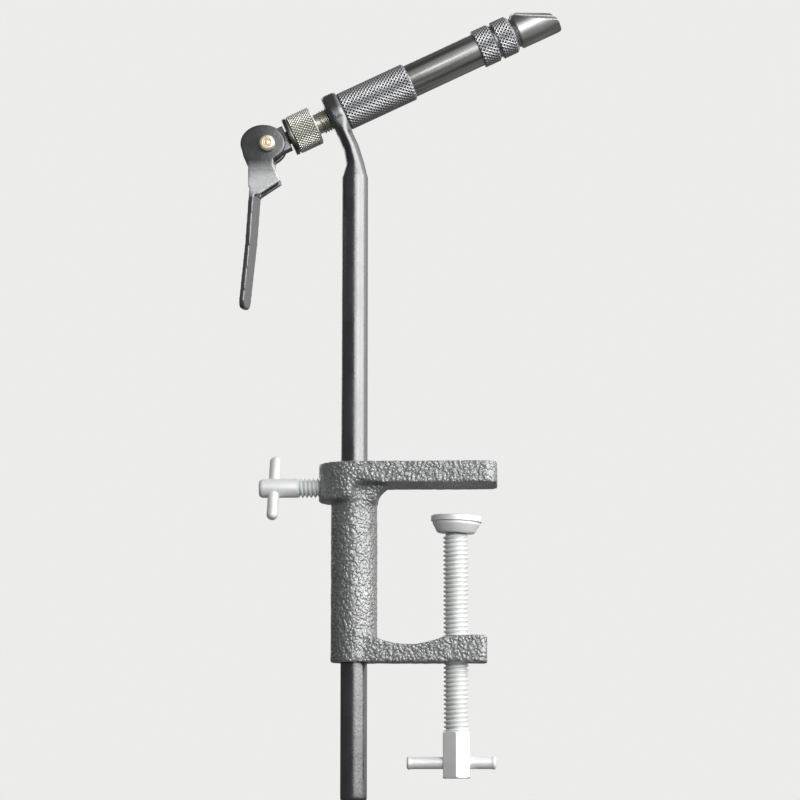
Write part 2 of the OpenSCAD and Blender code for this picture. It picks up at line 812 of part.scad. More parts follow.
module drawbar() {
    color("#6b6d70")
        on_head()
            difference() {
                union() {
                    translate([0, 0, block_front - stud_l])
                        cylinder(d = stud_d, h = stud_l + edge);
                    translate([0, 0, block_front])
                        cylinder(d = rod_d, h = cup_back - block_front + edge);
                    translate([0, 0, cup_back])
                        turned(cup_d, cup_l, edge / 2);
                }
                hole(cup_bore_d, foot_back - free_gap, cup_front - cup_lip_l);
                hole(cup_lip_d, foot_back, cup_front + over);
            }
}

module return_spring() {
    color("#8c8f92")
        on_head()
            translate([0, 0, chamber_back])
                coil_spring(return_coil_d, return_wire_d, return_turns,
                    cup_back - draw_travel - free_gap - chamber_back);
}

module drawbar_eye() {
    block_l = pivot_back + block_front;
    color("#1b1c1f")
        on_head()
            difference() {
                union() {
                    translate([0, eye_block_t / 2, -pivot_back])
                        rotate([90, 0, 0])
                            cylinder(r = eye_block_r, h = eye_block_t);
                    translate([-eye_block_r, -eye_block_t / 2, -pivot_back])
                        cube([2 * eye_block_r, eye_block_t, block_l]);
                }
                translate([0, eye_block_t, -pivot_back])
                    rotate([90, 0, 0])
                        cylinder(d = pivot_run_d, h = 2 * eye_block_t);
                hole(stud_d + 2 * pin_gap, block_front - stud_l - seat_gap, block_front + over);
            }
}

module pivot_pin() {
    near = fork_w / 2 + seat_gap;
    far = -fork_w / 2 - seat_gap;
    color("#b78a3c")
        on_lever()
            difference() {
                rotate_extrude()
                    polygon([[0, far - pivot_peen_h], [pivot_peen_d / 2 - edge, far - pivot_peen_h],
                        [pivot_peen_d / 2, far - pivot_peen_h / 2], [pivot_peen_d / 2, far],
                        [pivot_d / 2, far], [pivot_d / 2, near], [pivot_head_d / 2, near],
                        [pivot_head_d / 2, near + pivot_head_h - pivot_edge],
                        [pivot_head_d / 2 - pivot_edge, near + pivot_head_h],
                        [0, near + pivot_head_h]]);
                translate([0, 0, near + pivot_head_h])
                    sphere(d = pivot_dimple_d);
                translate([0, 0, near + pivot_head_h - pivot_ring_w / 2])
                    rotate_extrude()
                        translate([pivot_ring_d / 2, 0])
                            square([pivot_ring_w, pivot_ring_w]);
            }
}

// Side outline of one cheek of the lever, with its pivot at zero
module cheek_outline() {
    polygon([for (i = [0 : cam_steps - 1])
        let (a = i * 360 / cam_steps)
        [cam_centre_x + cam_long * cos(a), cam_centre_z + cam_short * sin(a)]]);
    polygon([for (i = [0 : len(cheek_x_shares) - 1])
        [cam_long * cheek_x_shares[i], cheek_l * cheek_z_shares[i]]]);
}

// Outline of a strip of the lever's sheet along a line of points
module strip(line) {
    polygon(concat([for (p = line) p + [sheet_t / 2, 0]],
        [for (i = [len(line) - 1 : -1 : 0]) line[i] - [sheet_t / 2, 0]]));
}

// Front view of the tapered blade, with its rounded tip
module blade_outline() {
    top = blade_top_z + blade_lap;
    half = blade_w / 2;
    tip = blade_tip_w / 2;
    polygon([[-half, top], [half, top], [tip, blade_corner - lever_l],
        [tip - blade_corner / 3, blade_corner / 3 - lever_l], [tip - blade_corner, -lever_l],
        [blade_corner - tip, -lever_l], [blade_corner / 3 - tip, blade_corner / 3 - lever_l],
        [-tip, blade_corner - lever_l]]);
}

module cam_lever() {
    color("#1b1c1f")
        on_lever()
            difference() {
                union() {
                    for (face = [-fork_w / 2, fork_w / 2 - sheet_t])
                        translate([0, 0, face])
                            linear_extrude(sheet_t)
                                cheek_outline();
                    // Web that joins the cheeks along their back
                    translate([0, 0, -fork_w / 2])
                        linear_extrude(fork_w)
                            strip([[web_x, web_top_z], [web_x, web_low_z],
                                [blade_top_x, blade_top_z]]);
                    // Blade, turned about its own length
                    translate([blade_top_x, 0, 0])
                        rotate([0, -blade_twist, 0])
                            translate([-blade_top_x, 0, 0])
                                intersection() {
                                    translate([0, 0, -fork_w])
                                        linear_extrude(2 * fork_w)
                                            strip([[blade_top_x, blade_top_z + blade_lap],
                                                [blade_top_x, blade_top_z],
                                                [blade_mid_x, -lever_l * blade_mid_share],
                                                [blade_tip_x, -lever_l]]);
                                    translate([-lever_l, 0, 0])
                                        rotate([0, 90, 0])
                                            linear_extrude(2 * lever_l)
                                                blade_outline();
                                }
                }
                translate([0, 0, -fork_w])
                    cylinder(d = pivot_bore_d, h = 2 * fork_w);
            }
}

module adjusting_nut() {
    color("#6e7064")
        on_head()
            difference() {
                translate([0, 0, nut_back])
                    turned(nut_d, nut_l);
                hole(tail_d + 2 * run_gap, nut_back - over, -nut_front + over);
            }
}

module cam_washer() {
    color("#6e7064")
        on_head()
            difference() {
                translate([0, 0, washer_back])
                    turned(washer_d, washer_t, edge / 2);
                hole(tail_wall_d, washer_back - over, washer_front + over);
            }
}

clamp_frame();
stem();
stem_lock_screw();
lock_screw_bar();
clamp_screw();
clamp_screw_bar();
pressure_pad();
barrel();
lock_sleeve();
ring_lock_nut();
closing_ring();
jaw_near();
jaw_far();
jaw_spreader_spring();
drawbar();
return_spring();
drawbar_eye();
pivot_pin();
cam_lever();
adjusting_nut();
cam_washer();
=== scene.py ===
import math
import bmesh
import bpy
import numpy as np
from mathutils import Matrix, Vector


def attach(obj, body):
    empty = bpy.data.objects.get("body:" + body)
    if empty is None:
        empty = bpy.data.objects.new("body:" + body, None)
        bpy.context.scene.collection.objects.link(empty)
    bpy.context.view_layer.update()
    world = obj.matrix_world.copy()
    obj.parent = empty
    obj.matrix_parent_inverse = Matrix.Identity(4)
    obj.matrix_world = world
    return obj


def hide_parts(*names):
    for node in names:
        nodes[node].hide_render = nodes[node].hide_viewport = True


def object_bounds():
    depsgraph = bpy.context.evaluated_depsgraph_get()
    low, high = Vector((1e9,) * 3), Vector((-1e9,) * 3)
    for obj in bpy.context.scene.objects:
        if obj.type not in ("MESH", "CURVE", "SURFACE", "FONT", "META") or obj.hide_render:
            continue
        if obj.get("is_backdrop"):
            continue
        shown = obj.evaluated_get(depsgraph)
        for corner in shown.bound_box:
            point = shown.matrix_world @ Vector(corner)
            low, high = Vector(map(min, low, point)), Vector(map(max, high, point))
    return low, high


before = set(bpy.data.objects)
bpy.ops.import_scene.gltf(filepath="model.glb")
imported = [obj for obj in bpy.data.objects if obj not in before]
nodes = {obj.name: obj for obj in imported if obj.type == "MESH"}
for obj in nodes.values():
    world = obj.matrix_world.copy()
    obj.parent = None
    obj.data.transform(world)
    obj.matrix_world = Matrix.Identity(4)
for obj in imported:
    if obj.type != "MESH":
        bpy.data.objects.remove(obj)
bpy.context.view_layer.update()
print("frame loaded")

mm = 0.001
upright, sideways = (0, 0, 1), (1, 0, 0)
rowsPerPitch = 12  # of a thread's mesh
threadDepth = 0.56  # as a share of the pitch


def turn(degrees, axis):
    return Matrix.Rotation(math.radians(degrees), 4, axis)


def shift(x, y, z):
    return Matrix.Translation((x * mm, y * mm, z * mm))


def raised(z):
    # for a piece that is still in its own millimetres
    return Matrix.Translation((0, 0, z))


# places of the moving groups, as in the drawing
stemX, pivotZ, barZ, lockZ = -36.5, -27.55, -98.7, -0.6
headTilt, jawRoll = 65, 28.0
headPlace = shift(-43.4, 0, 137.1) @ turn(headTilt, "Y")  # +Z runs along the head, -X is its upper side
leverPlace = Matrix.Translation(headPlace @ Vector((0, 0, pivotZ * mm))) @ turn(90, "X")  # +Z to the viewer


def withSettings(thing, **settings):
    for key, setting in settings.items():
        setattr(thing, key, setting)
    return thing


def vectorsOf(items, name):
    found = np.empty(len(items) * 3, np.float32)
    items.foreach_get(name, found)
    return found.reshape(-1, 3).astype(float)


def coordsOf(mesh):
    return vectorsOf(mesh.vertices, "co")


def normalsOf(mesh):
    return vectorsOf(mesh.vertex_normals, "vector")


def setCoords(mesh, co):
    mesh.vertices.foreach_set("co", np.asarray(co, np.float32).ravel())
    mesh.update()


def storeValue(mesh, name, values):
    attribute = mesh.attributes.get(name) or mesh.attributes.new(name, "FLOAT", "POINT")
    attribute.data.foreach_set("value", np.asarray(values, np.float32))


def storeSame(mesh, name, value):
    storeValue(mesh, name, np.full(len(mesh.vertices), value))


def newPiece(name, data, material=None):
    piece = bpy.data.objects.new(name, data)
    bpy.context.scene.collection.objects.link(piece)
    if material is not None:
        data.materials.clear()
        data.materials.append(material)
    return piece


def plain(piece):
    # the piece as its modifiers leave it, with the modifiers gone
    graph = bpy.context.evaluated_depsgraph_get()
    mesh = bpy.data.meshes.new_from_object(piece.evaluated_get(graph), preserve_all_data_layers=True, depsgraph=graph)
    piece.modifiers.clear()
    old = piece.data
    piece.data = mesh
    bpy.data.meshes.remove(old)


def modify(piece, kind, **settings):
    return withSettings(piece.modifiers.new(kind.lower(), kind), **settings)


def cleaned(mesh, merge=0.0):
    bm = bmesh.new()
    bm.from_mesh(mesh)
    if merge:
        bmesh.ops.remove_doubles(bm, verts=bm.verts, dist=merge)
    rims = [e for e in bm.edges if e.is_boundary]
    if rims:
        bmesh.ops.holes_fill(bm, edges=rims, sides=0)
    bmesh.ops.recalc_face_normals(bm, faces=bm.faces)
    bm.to_mesh(mesh)
    bm.free()
    mesh.update()


def shapedMesh(name, shape, **sizes):
    # a mesh from one of bmesh's ready shapes
    bm = bmesh.new()
    shape(bm, **sizes)
    mesh = bpy.data.meshes.new(name)
    bm.to_mesh(mesh)
    bm.free()
    return mesh


def smoothTo(mesh, degrees):
    mesh.shade_smooth()
    mesh.set_sharp_from_angle(angle=math.radians(degrees))


def finishPiece(piece, place, body, slot, *replaced):
    # millimetres in the piece's own frame become metres in the shared one
    piece.data.transform(place @ Matrix.Scale(mm, 4))
    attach(piece, body)
    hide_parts(*replaced)


def joined(pieces):
    # several shells of one body as one object, with their stored values kept by name
    keep = pieces[0]
    with bpy.context.temp_override(
            active_object=keep, object=keep, selected_objects=pieces, selected_editable_objects=pieces):
        bpy.ops.object.join()
    return keep


def rounded(points, steps=4):
    # (radius, z, corner) in, (radius, z, edge) out; a negative corner is an inner one and shows no wear
    outline = []
    count = len(points)
    for i, (r, z, corner) in enumerate(points):
        if corner == 0:
            outline.append((r, z, 0.0))
            continue
        here = Vector((r, z))
        before = Vector(points[(i - 1) % count][:2]) - here
        after = Vector(points[(i + 1) % count][:2]) - here
        size = min(abs(corner), before.length * 0.48, after.length * 0.48)
        start, end = here + before.normalized() * size, here + after.normalized() * size
        for k in range(steps + 1):
            t = k / steps
            p = start * (1 - t) ** 2 + here * 2 * t * (1 - t) + end * t * t
            outline.append((p.x, p.y, 1.0 if corner > 0 and 0 < k < steps else 0.4 if corner > 0 else 0.0))
    return outline


def turnedMesh(name, outline, columns, closed):
    # surface of revolution about Z through (radius, z, edge) points; one on the axis is a single vertex
    verts, faces, rings, edge = [], [], [], []
    for r, z, e in outline:
        count = columns if r > 0 else 1
        rings.append(range(len(verts), len(verts) + count))
        for k in range(count):
            a = 2 * math.pi * k / columns
            verts.append((r * math.cos(a), r * math.sin(a), z))
        edge += [e] * count
    for a, b in list(zip(rings, rings[1:])) + ([(rings[-1], rings[0])] if closed else []):
        for k in range(columns if len(a) + len(b) > 2 else 0):
            n = (k + 1) % columns
            if len(a) == 1:
                faces.append((a[0], b[n], b[k]))
            elif len(b) == 1:
                faces.append((a[k], a[n], b[0]))
            else:
                faces.append((a[k], a[n], b[n], b[k]))
    mesh = bpy.data.meshes.new(name)
    mesh.from_pydata(verts, [], faces)
    storeValue(mesh, "edge", edge)
    storeValue(mesh, "along", [vert[2] for vert in verts])
    storeSame(mesh, "crest", 0.5)
    cleaned(mesh)
    return mesh


def turnedPiece(name, points, columns, closed, material, tail=()):
    mesh = turnedMesh(name, rounded(points) + list(tail), columns, closed)
    smoothTo(mesh, 35)
    return newPiece(name, mesh, material)


def neighbourMean(mesh):
    # a function that gives every vertex the mean of its neighbours
    pairs = np.empty(len(mesh.edges) * 2, np.int32)
    mesh.edges.foreach_get("vertices", pairs)
    a, b = np.concatenate([pairs[0::2], pairs[1::2]]), np.concatenate([pairs[1::2], pairs[0::2]])
    count = len(mesh.vertices)
    degree = np.maximum(np.bincount(a, minlength=count), 1)[:, None]
    return lambda co: np.stack([np.bincount(a, weights=co[b, i], minlength=count) for i in range(3)], 1) / degree


def markEdges(mesh, passes, gain):
    # convex edges get 1, flats and hollows 0, from how far a vertex stands out of its surroundings
    co = coordsOf(mesh)
    mean = neighbourMean(mesh)
    soft = co
    for _ in range(passes):
        soft = mean(soft)
    bulge = ((co - soft) * normalsOf(mesh)).sum(1) / mm
    storeValue(mesh, "edge", np.clip(bulge * gain, 0, 1))


def melt(mesh, centre, reach, passes):
    # extra softening round one place, fading out at its reach
    co = coordsOf(mesh)
    mean = neighbourMean(mesh)
    far = np.linalg.norm((co - np.array(centre) * mm) / (np.array(reach) * mm), axis=1)
    weight = np.clip(1.4 * (1 - far), 0, 1)[:, None]
    for _ in range(passes):
        co += (mean(co) - co) * weight * 0.6
    setCoords(mesh, co)


def trueUp(mesh, origin, axis, radius, low, high, reach, fade=0.0):
    # vertices close to a cylinder go onto it; the origin is in metres, the sizes in millimetres
    co = coordsOf(mesh)
    origin, axis = np.array(origin, float), np.array(Vector(axis).normalized(), float)
    rel = co - origin
    s = rel @ axis
    radial = rel - s[:, None] * axis
    d = np.linalg.norm(radial, axis=1)
    out = radial / np.maximum(d, 1e-9)[:, None]
    facing = np.abs((normalsOf(mesh) * out).sum(1))
    pick = (np.abs(d - radius * mm) < reach * mm) & (s > low * mm) & (s < high * mm) & (facing > 0.75)
    weight = np.clip(np.minimum(s - low * mm, high * mm - s) / (fade * mm), 0, 1) if fade else 1.0
    setCoords(mesh, co + out * ((radius * mm - d) * weight * pick)[:, None])


def castCopy(node, name, size):
    # a CAD node's shape as one even skin with softened edges
    mesh = nodes[node].data.copy()
    mesh.materials.clear()
    cleaned(mesh, 1e-7)
    piece = newPiece(name, mesh)
    modify(piece, "REMESH", mode="VOXEL", voxel_size=size["voxel"] * mm, use_smooth_shade=True)
    modify(piece, "SMOOTH", factor=0.5, iterations=size["passes"])
    plain(piece)
    piece.data.shade_smooth()
    return piece


def bevelled(piece, width):
    modify(piece, "BEVEL", width=width, segments=3, limit_method="ANGLE")
    plain(piece)


def carve(piece, cutter, how):
    modify(piece, "BOOLEAN", operation=how, solver="EXACT", object=cutter)
    plain(piece)
    bpy.data.objects.remove(cutter)


# node helpers, for geometry and shader trees alike
def feed(tree, node, inputs):
    for label, value in inputs.items():
        if isinstance(value, bpy.types.NodeSocket):
            tree.links.new(value, node.inputs[label])
        elif value is not None:
            node.inputs[label].default_value = value


def addNode(tree, kind, inputs=None, **settings):
    node = withSettings(tree.nodes.new(kind), **settings)
    feed(tree, node, inputs or {})
    return node


def calc(tree, operation, a, b=None, clamp=False):
    return addNode(tree, "ShaderNodeMath", {0: a, 1: b}, operation=operation, use_clamp=clamp).outputs[0]


def plus(tree, a, b):
    return calc(tree, "ADD", a, b)


def minus(tree, a, b):
    return calc(tree, "SUBTRACT", a, b)


def times(tree, a, b):
    return calc(tree, "MULTIPLY", a, b)


def over(tree, a, b):
    return calc(tree, "DIVIDE", a, b)


def least(tree, a, b):
    return calc(tree, "MINIMUM", a, b)


def most(tree, a, b):
    return calc(tree, "MAXIMUM", a, b)


def between(tree, value, low, high, outLow=0.0, outHigh=1.0):
    return addNode(tree, "ShaderNodeMapRange", {0: value, 1: low, 2: high, 3: outLow, 4: outHigh}, clamp=True,
                   interpolation_type="SMOOTHSTEP").outputs[0]


def apart(tree, vector):
    return addNode(tree, "ShaderNodeSeparateXYZ", {0: vector}).outputs


def addSockets(tree, way, sockets):
    # a number gives a socket its kind and its start, a word its kind alone
    for label, start in sockets.items():
        kind = start if isinstance(start, str) else "Int" if isinstance(start, int) else "Float"
        socket = tree.interface.new_socket(label, in_out=way, socket_type="NodeSocket" + kind)
        if kind != start:
            socket.default_value = start


def newTree(name, kind, takes, gives):
    tree = bpy.data.node_groups.new(name, kind)
    addSockets(tree, "INPUT", takes)
    addSockets(tree, "OUTPUT", gives)
    return tree, addNode(tree, "NodeGroupInput").outputs


def geometryTree(name, sizes):
    shape = {"geometry": "Geometry"}
    tree, given = newTree(name, "GeometryNodeTree", {**shape, **sizes, "material": "Material"}, shape)
    tree.is_modifier = True
    return tree, given, addNode(tree, "GeometryNodeInputPosition").outputs[0]


def crestStored(tree, geometry, crest):
    return addNode(tree, "GeometryNodeStoreNamedAttribute", {"Geometry": geometry, "Name": "crest", "Value": crest},
                   data_type="FLOAT", domain="POINT").outputs[0]


def moved(tree, geometry, way, vector):
    return addNode(tree, "GeometryNodeSetPosition", {"Geometry": geometry, way: vector}).outputs[0]


def closeTree(tree, given, geometry):
    real = addNode(tree, "GeometryNodeRealizeInstances", {0: geometry}).outputs[0]
    paint = addNode(tree, "GeometryNodeSetMaterial", {"Geometry": real, "Material": given["material"]}).outputs[0]
    addNode(tree, "NodeGroupOutput", {0: paint})
    return tree


def runTree(piece, tree, values):
    grow = modify(piece, "NODES", node_group=tree)
    for item in tree.interface.items_tree:
        if item.in_out == "INPUT" and item.name in values:
            grow[item.identifier] = values[item.name]
    plain(piece)


def buildKnurlTree():
    # presses crossed helical grooves into the outer wall of a turned piece
    tree, given, place = geometryTree("diamondKnurl", {
        "radius": 7.0, "low": 0.0, "high": 10.0, "starts": 42.0, "pitch": 1.25, "depth": 0.3, "flat": 0.8,
        "ridges": 0.0})
    x, y, z = apart(tree, place)
    around = times(tree, calc(tree, "ARCTAN2", y, x), over(tree, given["starts"], 2 * math.pi))
    climb = over(tree, minus(tree, z, given["low"]), given["pitch"])
    oneWay = calc(tree, "PINGPONG", plus(tree, around, climb), 0.5)
    otherWay = calc(tree, "PINGPONG", minus(tree, around, climb), 0.5)
    diamonds = times(tree, least(tree, oneWay, otherWay), 2.0)
    ridges = times(tree, most(tree, oneWay, otherWay), 2.0)
    height = plus(tree, diamonds, times(tree, minus(tree, ridges, diamonds), given["ridges"]))
    height = over(tree, least(tree, height, given["flat"]), given["flat"])
    reach = calc(tree, "SQRT", plus(tree, times(tree, x, x), times(tree, y, y)))
    wall = calc(tree, "GREATER_THAN", reach, minus(tree, given["radius"], 0.02))
    wall = times(tree, wall, calc(tree, "GREATER_THAN", z, minus(tree, given["low"], 0.01)))
    wall = times(tree, wall, calc(tree, "LESS_THAN", z, plus(tree, given["high"], 0.01)))
    sink = times(tree, times(tree, minus(tree, 1.0, height), given["depth"]), wall)
    scale = over(tree, times(tree, sink, -1.0), most(tree, reach, 0.001))
    inwards = addNode(tree, "ShaderNodeCombineXYZ", {0: times(tree, x, scale), 1: times(tree, y, scale)}).outputs[0]
    crest = plus(tree, times(tree, height, wall), times(tree, minus(tree, 1.0, wall), 0.5))
    pressed = moved(tree, crestStored(tree, given["geometry"], crest), "Offset", inwards)
    split = addNode(tree, "GeometryNodeTriangulate", {0: pressed}, quad_method="SHORTEST_DIAGONAL").outputs[0]
    return closeTree(tree, given, split)


def buildThreadTree():
    # a sheet of rows wrapped round a rod and sheared along the helix, so that its rows follow crest and root
    tree, given, place = geometryTree("cutThread", {
        "outer": 4.5, "root": 3.6, "pitch": 1.6, "length": 70.0, "columns": 48, "rows": 540, "start": 3.6, "end": 3.6})
    sheet = addNode(tree, "GeometryNodeMeshGrid", {
        "Size X": 1.0, "Size Y": 1.0, "Vertices X": plus(tree, given["columns"], 1),
        "Vertices Y": plus(tree, given["rows"], 1)}).outputs[0]
    x, y = apart(tree, place)[:2]
    share = plus(tree, x, 0.5)
    row = over(tree, times(tree, plus(tree, y, 0.5), given["rows"]), float(rowsPerPitch))
    row = minus(tree, row, 1.0)
    raw = times(tree, plus(tree, row, share), given["pitch"])
    height = least(tree, most(tree, raw, 0.0), given["length"])
    tooth = times(tree, calc(tree, "PINGPONG", row, 0.5), 2.0)
    tooth = calc(tree, "DIVIDE", minus(tree, tooth, 1 / 6), 2 / 3, clamp=True)
    radius = plus(tree, given["root"], times(tree, tooth, minus(tree, given["outer"], given["root"])))
    radius = least(tree, radius, plus(tree, given["start"], height))
    radius = least(tree, radius, plus(tree, given["end"], minus(tree, given["length"], height)))
    angle = times(tree, share, 2 * math.pi)
    wrap = addNode(tree, "ShaderNodeCombineXYZ", {
        0: times(tree, radius, calc(tree, "COSINE", angle)), 1: times(tree, radius, calc(tree, "SINE", angle)),
        2: height})
    laid = moved(tree, crestStored(tree, sheet, tooth), "Position", wrap.outputs[0])
    weld = addNode(tree, "GeometryNodeMergeByDistance", {"Geometry": laid, "Distance": 0.002}).outputs[0]
    return closeTree(tree, given, weld)


def buildCastTree():
    # raises the rough skin of a painted casting
    tree, given, place = geometryTree("castSkin", {"lump": 1.3, "lumpHeight": 0.1, "seed": 4.0})
    per = over(tree, 1000.0, given["lump"])
    seeded = {"Vector": place, "W": given["seed"]}
    cells = addNode(tree, "ShaderNodeTexVoronoi", {**seeded, "Scale": per, "Smoothness": 0.7}, voronoi_dimensions="4D",
                    feature="SMOOTH_F1")
    waves = addNode(tree, "ShaderNodeTexNoise", {**seeded, "Scale": times(tree, per, 0.45)}, noise_dimensions="4D")
    rise = plus(tree, minus(tree, 0.45, cells.outputs["Distance"]), minus(tree, waves.outputs[0], 0.5))
    rise = times(tree, times(tree, rise, given["lumpHeight"]), mm)
    normal = addNode(tree, "GeometryNodeInputNormal").outputs[0]
    out = addNode(tree, "ShaderNodeVectorMath", {0: normal, "Scale": rise}, operation="SCALE").outputs[0]
    return closeTree(tree, given, moved(tree, given["geometry"], "Offset", out))


knurlTree = buildKnurlTree()
threadTree = buildThreadTree()
castTree = buildCastTree()
print("geometry trees built")


def noise(tree, vector, scale, detail=2.0, rough=0.5):
    return addNode(tree, "ShaderNodeTexNoise", {
        "Vector": vector, "Scale": scale, "Detail": detail, "Roughness": rough}).outputs[0]


def mapped(tree, vector, scale, rotation=None):
    return addNode(tree, "ShaderNodeMapping", {"Vector": vector, "Scale": scale, "Rotation": rotation}).outputs[0]


def buildMottleGroup():
    # broad patches and fine grain
    tree, given = newTree("surfaceMottle", "ShaderNodeTree", {"Vector": "Vector", "Size": 8.0, "Contrast": 1.0},
                          {"Broad": "Float", "Fine": "Float"})
    per = over(tree, 1000.0, given["Size"])
    broad = noise(tree, given["Vector"], per, 4.0, 0.55)
    fine = noise(tree, given["Vector"], times(tree, per, 9.0), 3.0, 0.6)
    half = times(tree, given["Contrast"], 0.25)
    broad = between(tree, broad, minus(tree, 0.5, half), plus(tree, 0.5, half))
    addNode(tree, "NodeGroupOutput", {"Broad": broad, "Fine": fine})
    return tree


def buildWearGroup():
    # bare patches where an edge is worn
    tree, given = newTree("edgeWear", "ShaderNodeTree", {"Vector": "Vector", "Edge": 0.0, "Amount": 0.4, "Grain": 0.8},
                          {"Mask": "Float"})
    per = over(tree, 1000.0, given["Grain"])
    patches = noise(tree, given["Vector"], per, 4.0, 0.65)
    broad = noise(tree, given["Vector"], times(tree, per, 0.12), 2.0)
    mixed = plus(tree, given["Edge"], times(tree, minus(tree, patches, 0.5), 1.1))
    mixed = plus(tree, mixed, times(tree, minus(tree, broad, 0.5), 0.9))
    start = minus(tree, 1.15, given["Amount"])
    addNode(tree, "NodeGroupOutput", {"Mask": between(tree, mixed, start, plus(tree, start, 0.25))})
    return tree


def buildScratchGroup():
    # fine scratches in two directions
    tree, given = newTree("fineScratches", "ShaderNodeTree", {"Vector": "Vector", "Size": 1.0, "Density": 0.4},
                          {"Mask": "Float"})
    per = over(tree, 1000.0, given["Size"])
    limit = minus(tree, 0.78, times(tree, given["Density"], 0.2))
    masks = []
    for rotation, squeeze in (((0.3, 0.2, 0.5), (0.06, 1.0, 1.0)), ((1.1, 0.7, 2.1), (1.0, 0.07, 1.0))):
        line = noise(tree, mapped(tree, given["Vector"], squeeze, rotation), times(tree, per, 2.2))
        masks.append(between(tree, line, limit, plus(tree, limit, 0.06)))
    addNode(tree, "NodeGroupOutput", {"Mask": most(tree, *masks)})
    return tree


def buildTurningGroup():
    # rings that a lathe tool leaves, from how far along the piece the surface lies
    tree, given = newTree("turningMarks", "ShaderNodeTree", {"Along": 0.0, "Feed": 0.15},
                          {"Height": "Float", "Shade": "Float"})
    turns = over(tree, given["Along"], given["Feed"])
    lines = []
    for factor, detail in ((1.0, 1.0), (0.18, 3.0)):
        node = addNode(tree, "ShaderNodeTexNoise", {"W": times(tree, turns, factor), "Scale": 1.0, "Detail": detail},
                       noise_dimensions="1D")
        lines.append(node.outputs[0])
    shade = plus(tree, times(tree, lines[0], 0.4), times(tree, lines[1], 0.6))
    addNode(tree, "NodeGroupOutput", {"Height": lines[0], "Shade": shade})
    return tree


mottleGroup = buildMottleGroup()
wearGroup = buildWearGroup()
scratchGroup = buildScratchGroup()
turningGroup = buildTurningGroup()


def newMaterial(name):
    material = bpy.data.materials.new(name)
    material.use_nodes = True
    tree = material.node_tree
    tree.nodes.clear()
    shader = addNode(tree, "ShaderNodeBsdfPrincipled")
    addNode(tree, "ShaderNodeOutputMaterial", {"Surface": shader.outputs[0]})
    return material, tree, shader, addNode(tree, "ShaderNodeTexCoord").outputs["Object"]


def stored(tree, name):
    return addNode(tree, "ShaderNodeAttribute", attribute_name=name, attribute_type="GEOMETRY").outputs["Fac"]


def use(tree, group, **inputs):
    return addNode(tree, "ShaderNodeGroup", inputs, node_tree=group).outputs


def mottled(tree, here, size, contrast=1.0):
    return use(tree, mottleGroup, Vector=here, Size=size, Contrast=contrast)


def worn(tree, here, amount, grain):
    return use(tree, wearGroup, Vector=here, Edge=stored(tree, "edge"), Amount=amount, Grain=grain)["Mask"]


def scratched(tree, here, size, density):
    return use(tree, scratchGroup, Vector=here, Size=size, Density=density)["Mask"]


def lathed(tree, advance):
    return use(tree, turningGroup, Along=stored(tree, "along"), Feed=advance)


def blendColours(tree, share, *ends):
    first, second = [end if isinstance(end, bpy.types.NodeSocket) else (*end, 1.0) for end in ends]
    mix = addNode(tree, "ShaderNodeMix", {0: share, 6: first, 7: second}, data_type="RGBA", clamp_factor=True)
    return mix.outputs[2]


def blendValues(tree, share, first, second):
    mix = addNode(tree, "ShaderNodeMix", {0: share, 2: first, 3: second}, data_type="FLOAT", clamp_factor=True)
    return mix.outputs[0]


def bump(tree, height, distance, strength=1.0, under=None):
    return addNode(tree, "ShaderNodeBump", {
        "Height": height, "Distance": distance * mm, "Strength": strength, "Normal": under}).outputs[0]


def scaledColour(colour, factor, extra=0.0):
    return tuple(min(1.0, c * factor + extra) for c in colour)


def buildHammertone():
    look = {"base": (0.155, 0.157, 0.161), "lump": (0.255, 0.259, 0.263), "bare": (0.46, 0.46, 0.45), "cell": 1.1,
            "smoothness": 0.55, "relief": 0.20, "warp": 0.001, "warpScale": 700.0, "grain": 0.16, "grainScale": 2400.0,
            "rough": (0.28, 0.40)}
    material, tree, shader, here = newMaterial("hammertone black")
    warp = addNode(tree, "ShaderNodeTexNoise", {"Vector": here, "Scale": look["warpScale"]}).outputs["Color"]
    bent = addNode(tree, "ShaderNodeVectorMath", {0: warp, 1: (look["warp"],) * 3, 2: here}, operation="MULTIPLY_ADD")
    cells = addNode(tree, "ShaderNodeTexVoronoi", feature="SMOOTH_F1")
    feed(tree, cells, {"Vector": bent.outputs[0], "Scale": 1000.0 / look["cell"], "Smoothness": look["smoothness"]})
    lumps = between(tree, cells.outputs["Distance"], 0.66, 0.26)
    height = plus(tree, lumps, times(tree, noise(tree, here, look["grainScale"], 3.0, 0.6), look["grain"]))
    broad = mottled(tree, here, 14.0)["Broad"]
    shown = times(tree, lumps, plus(tree, 0.45, times(tree, broad, 0.55)))
    colour = blendColours(tree, shown, look["base"], look["lump"])
    feed(tree, shader, {
        "Base Color": blendColours(tree, worn(tree, here, 0.22, 0.7), colour, look["bare"]),
        "Roughness": blendValues(tree, broad, *look["rough"]), "Normal": bump(tree, height, look["relief"]),
        "Specular IOR Level": 1.0, "IOR": 1.75})
    return material


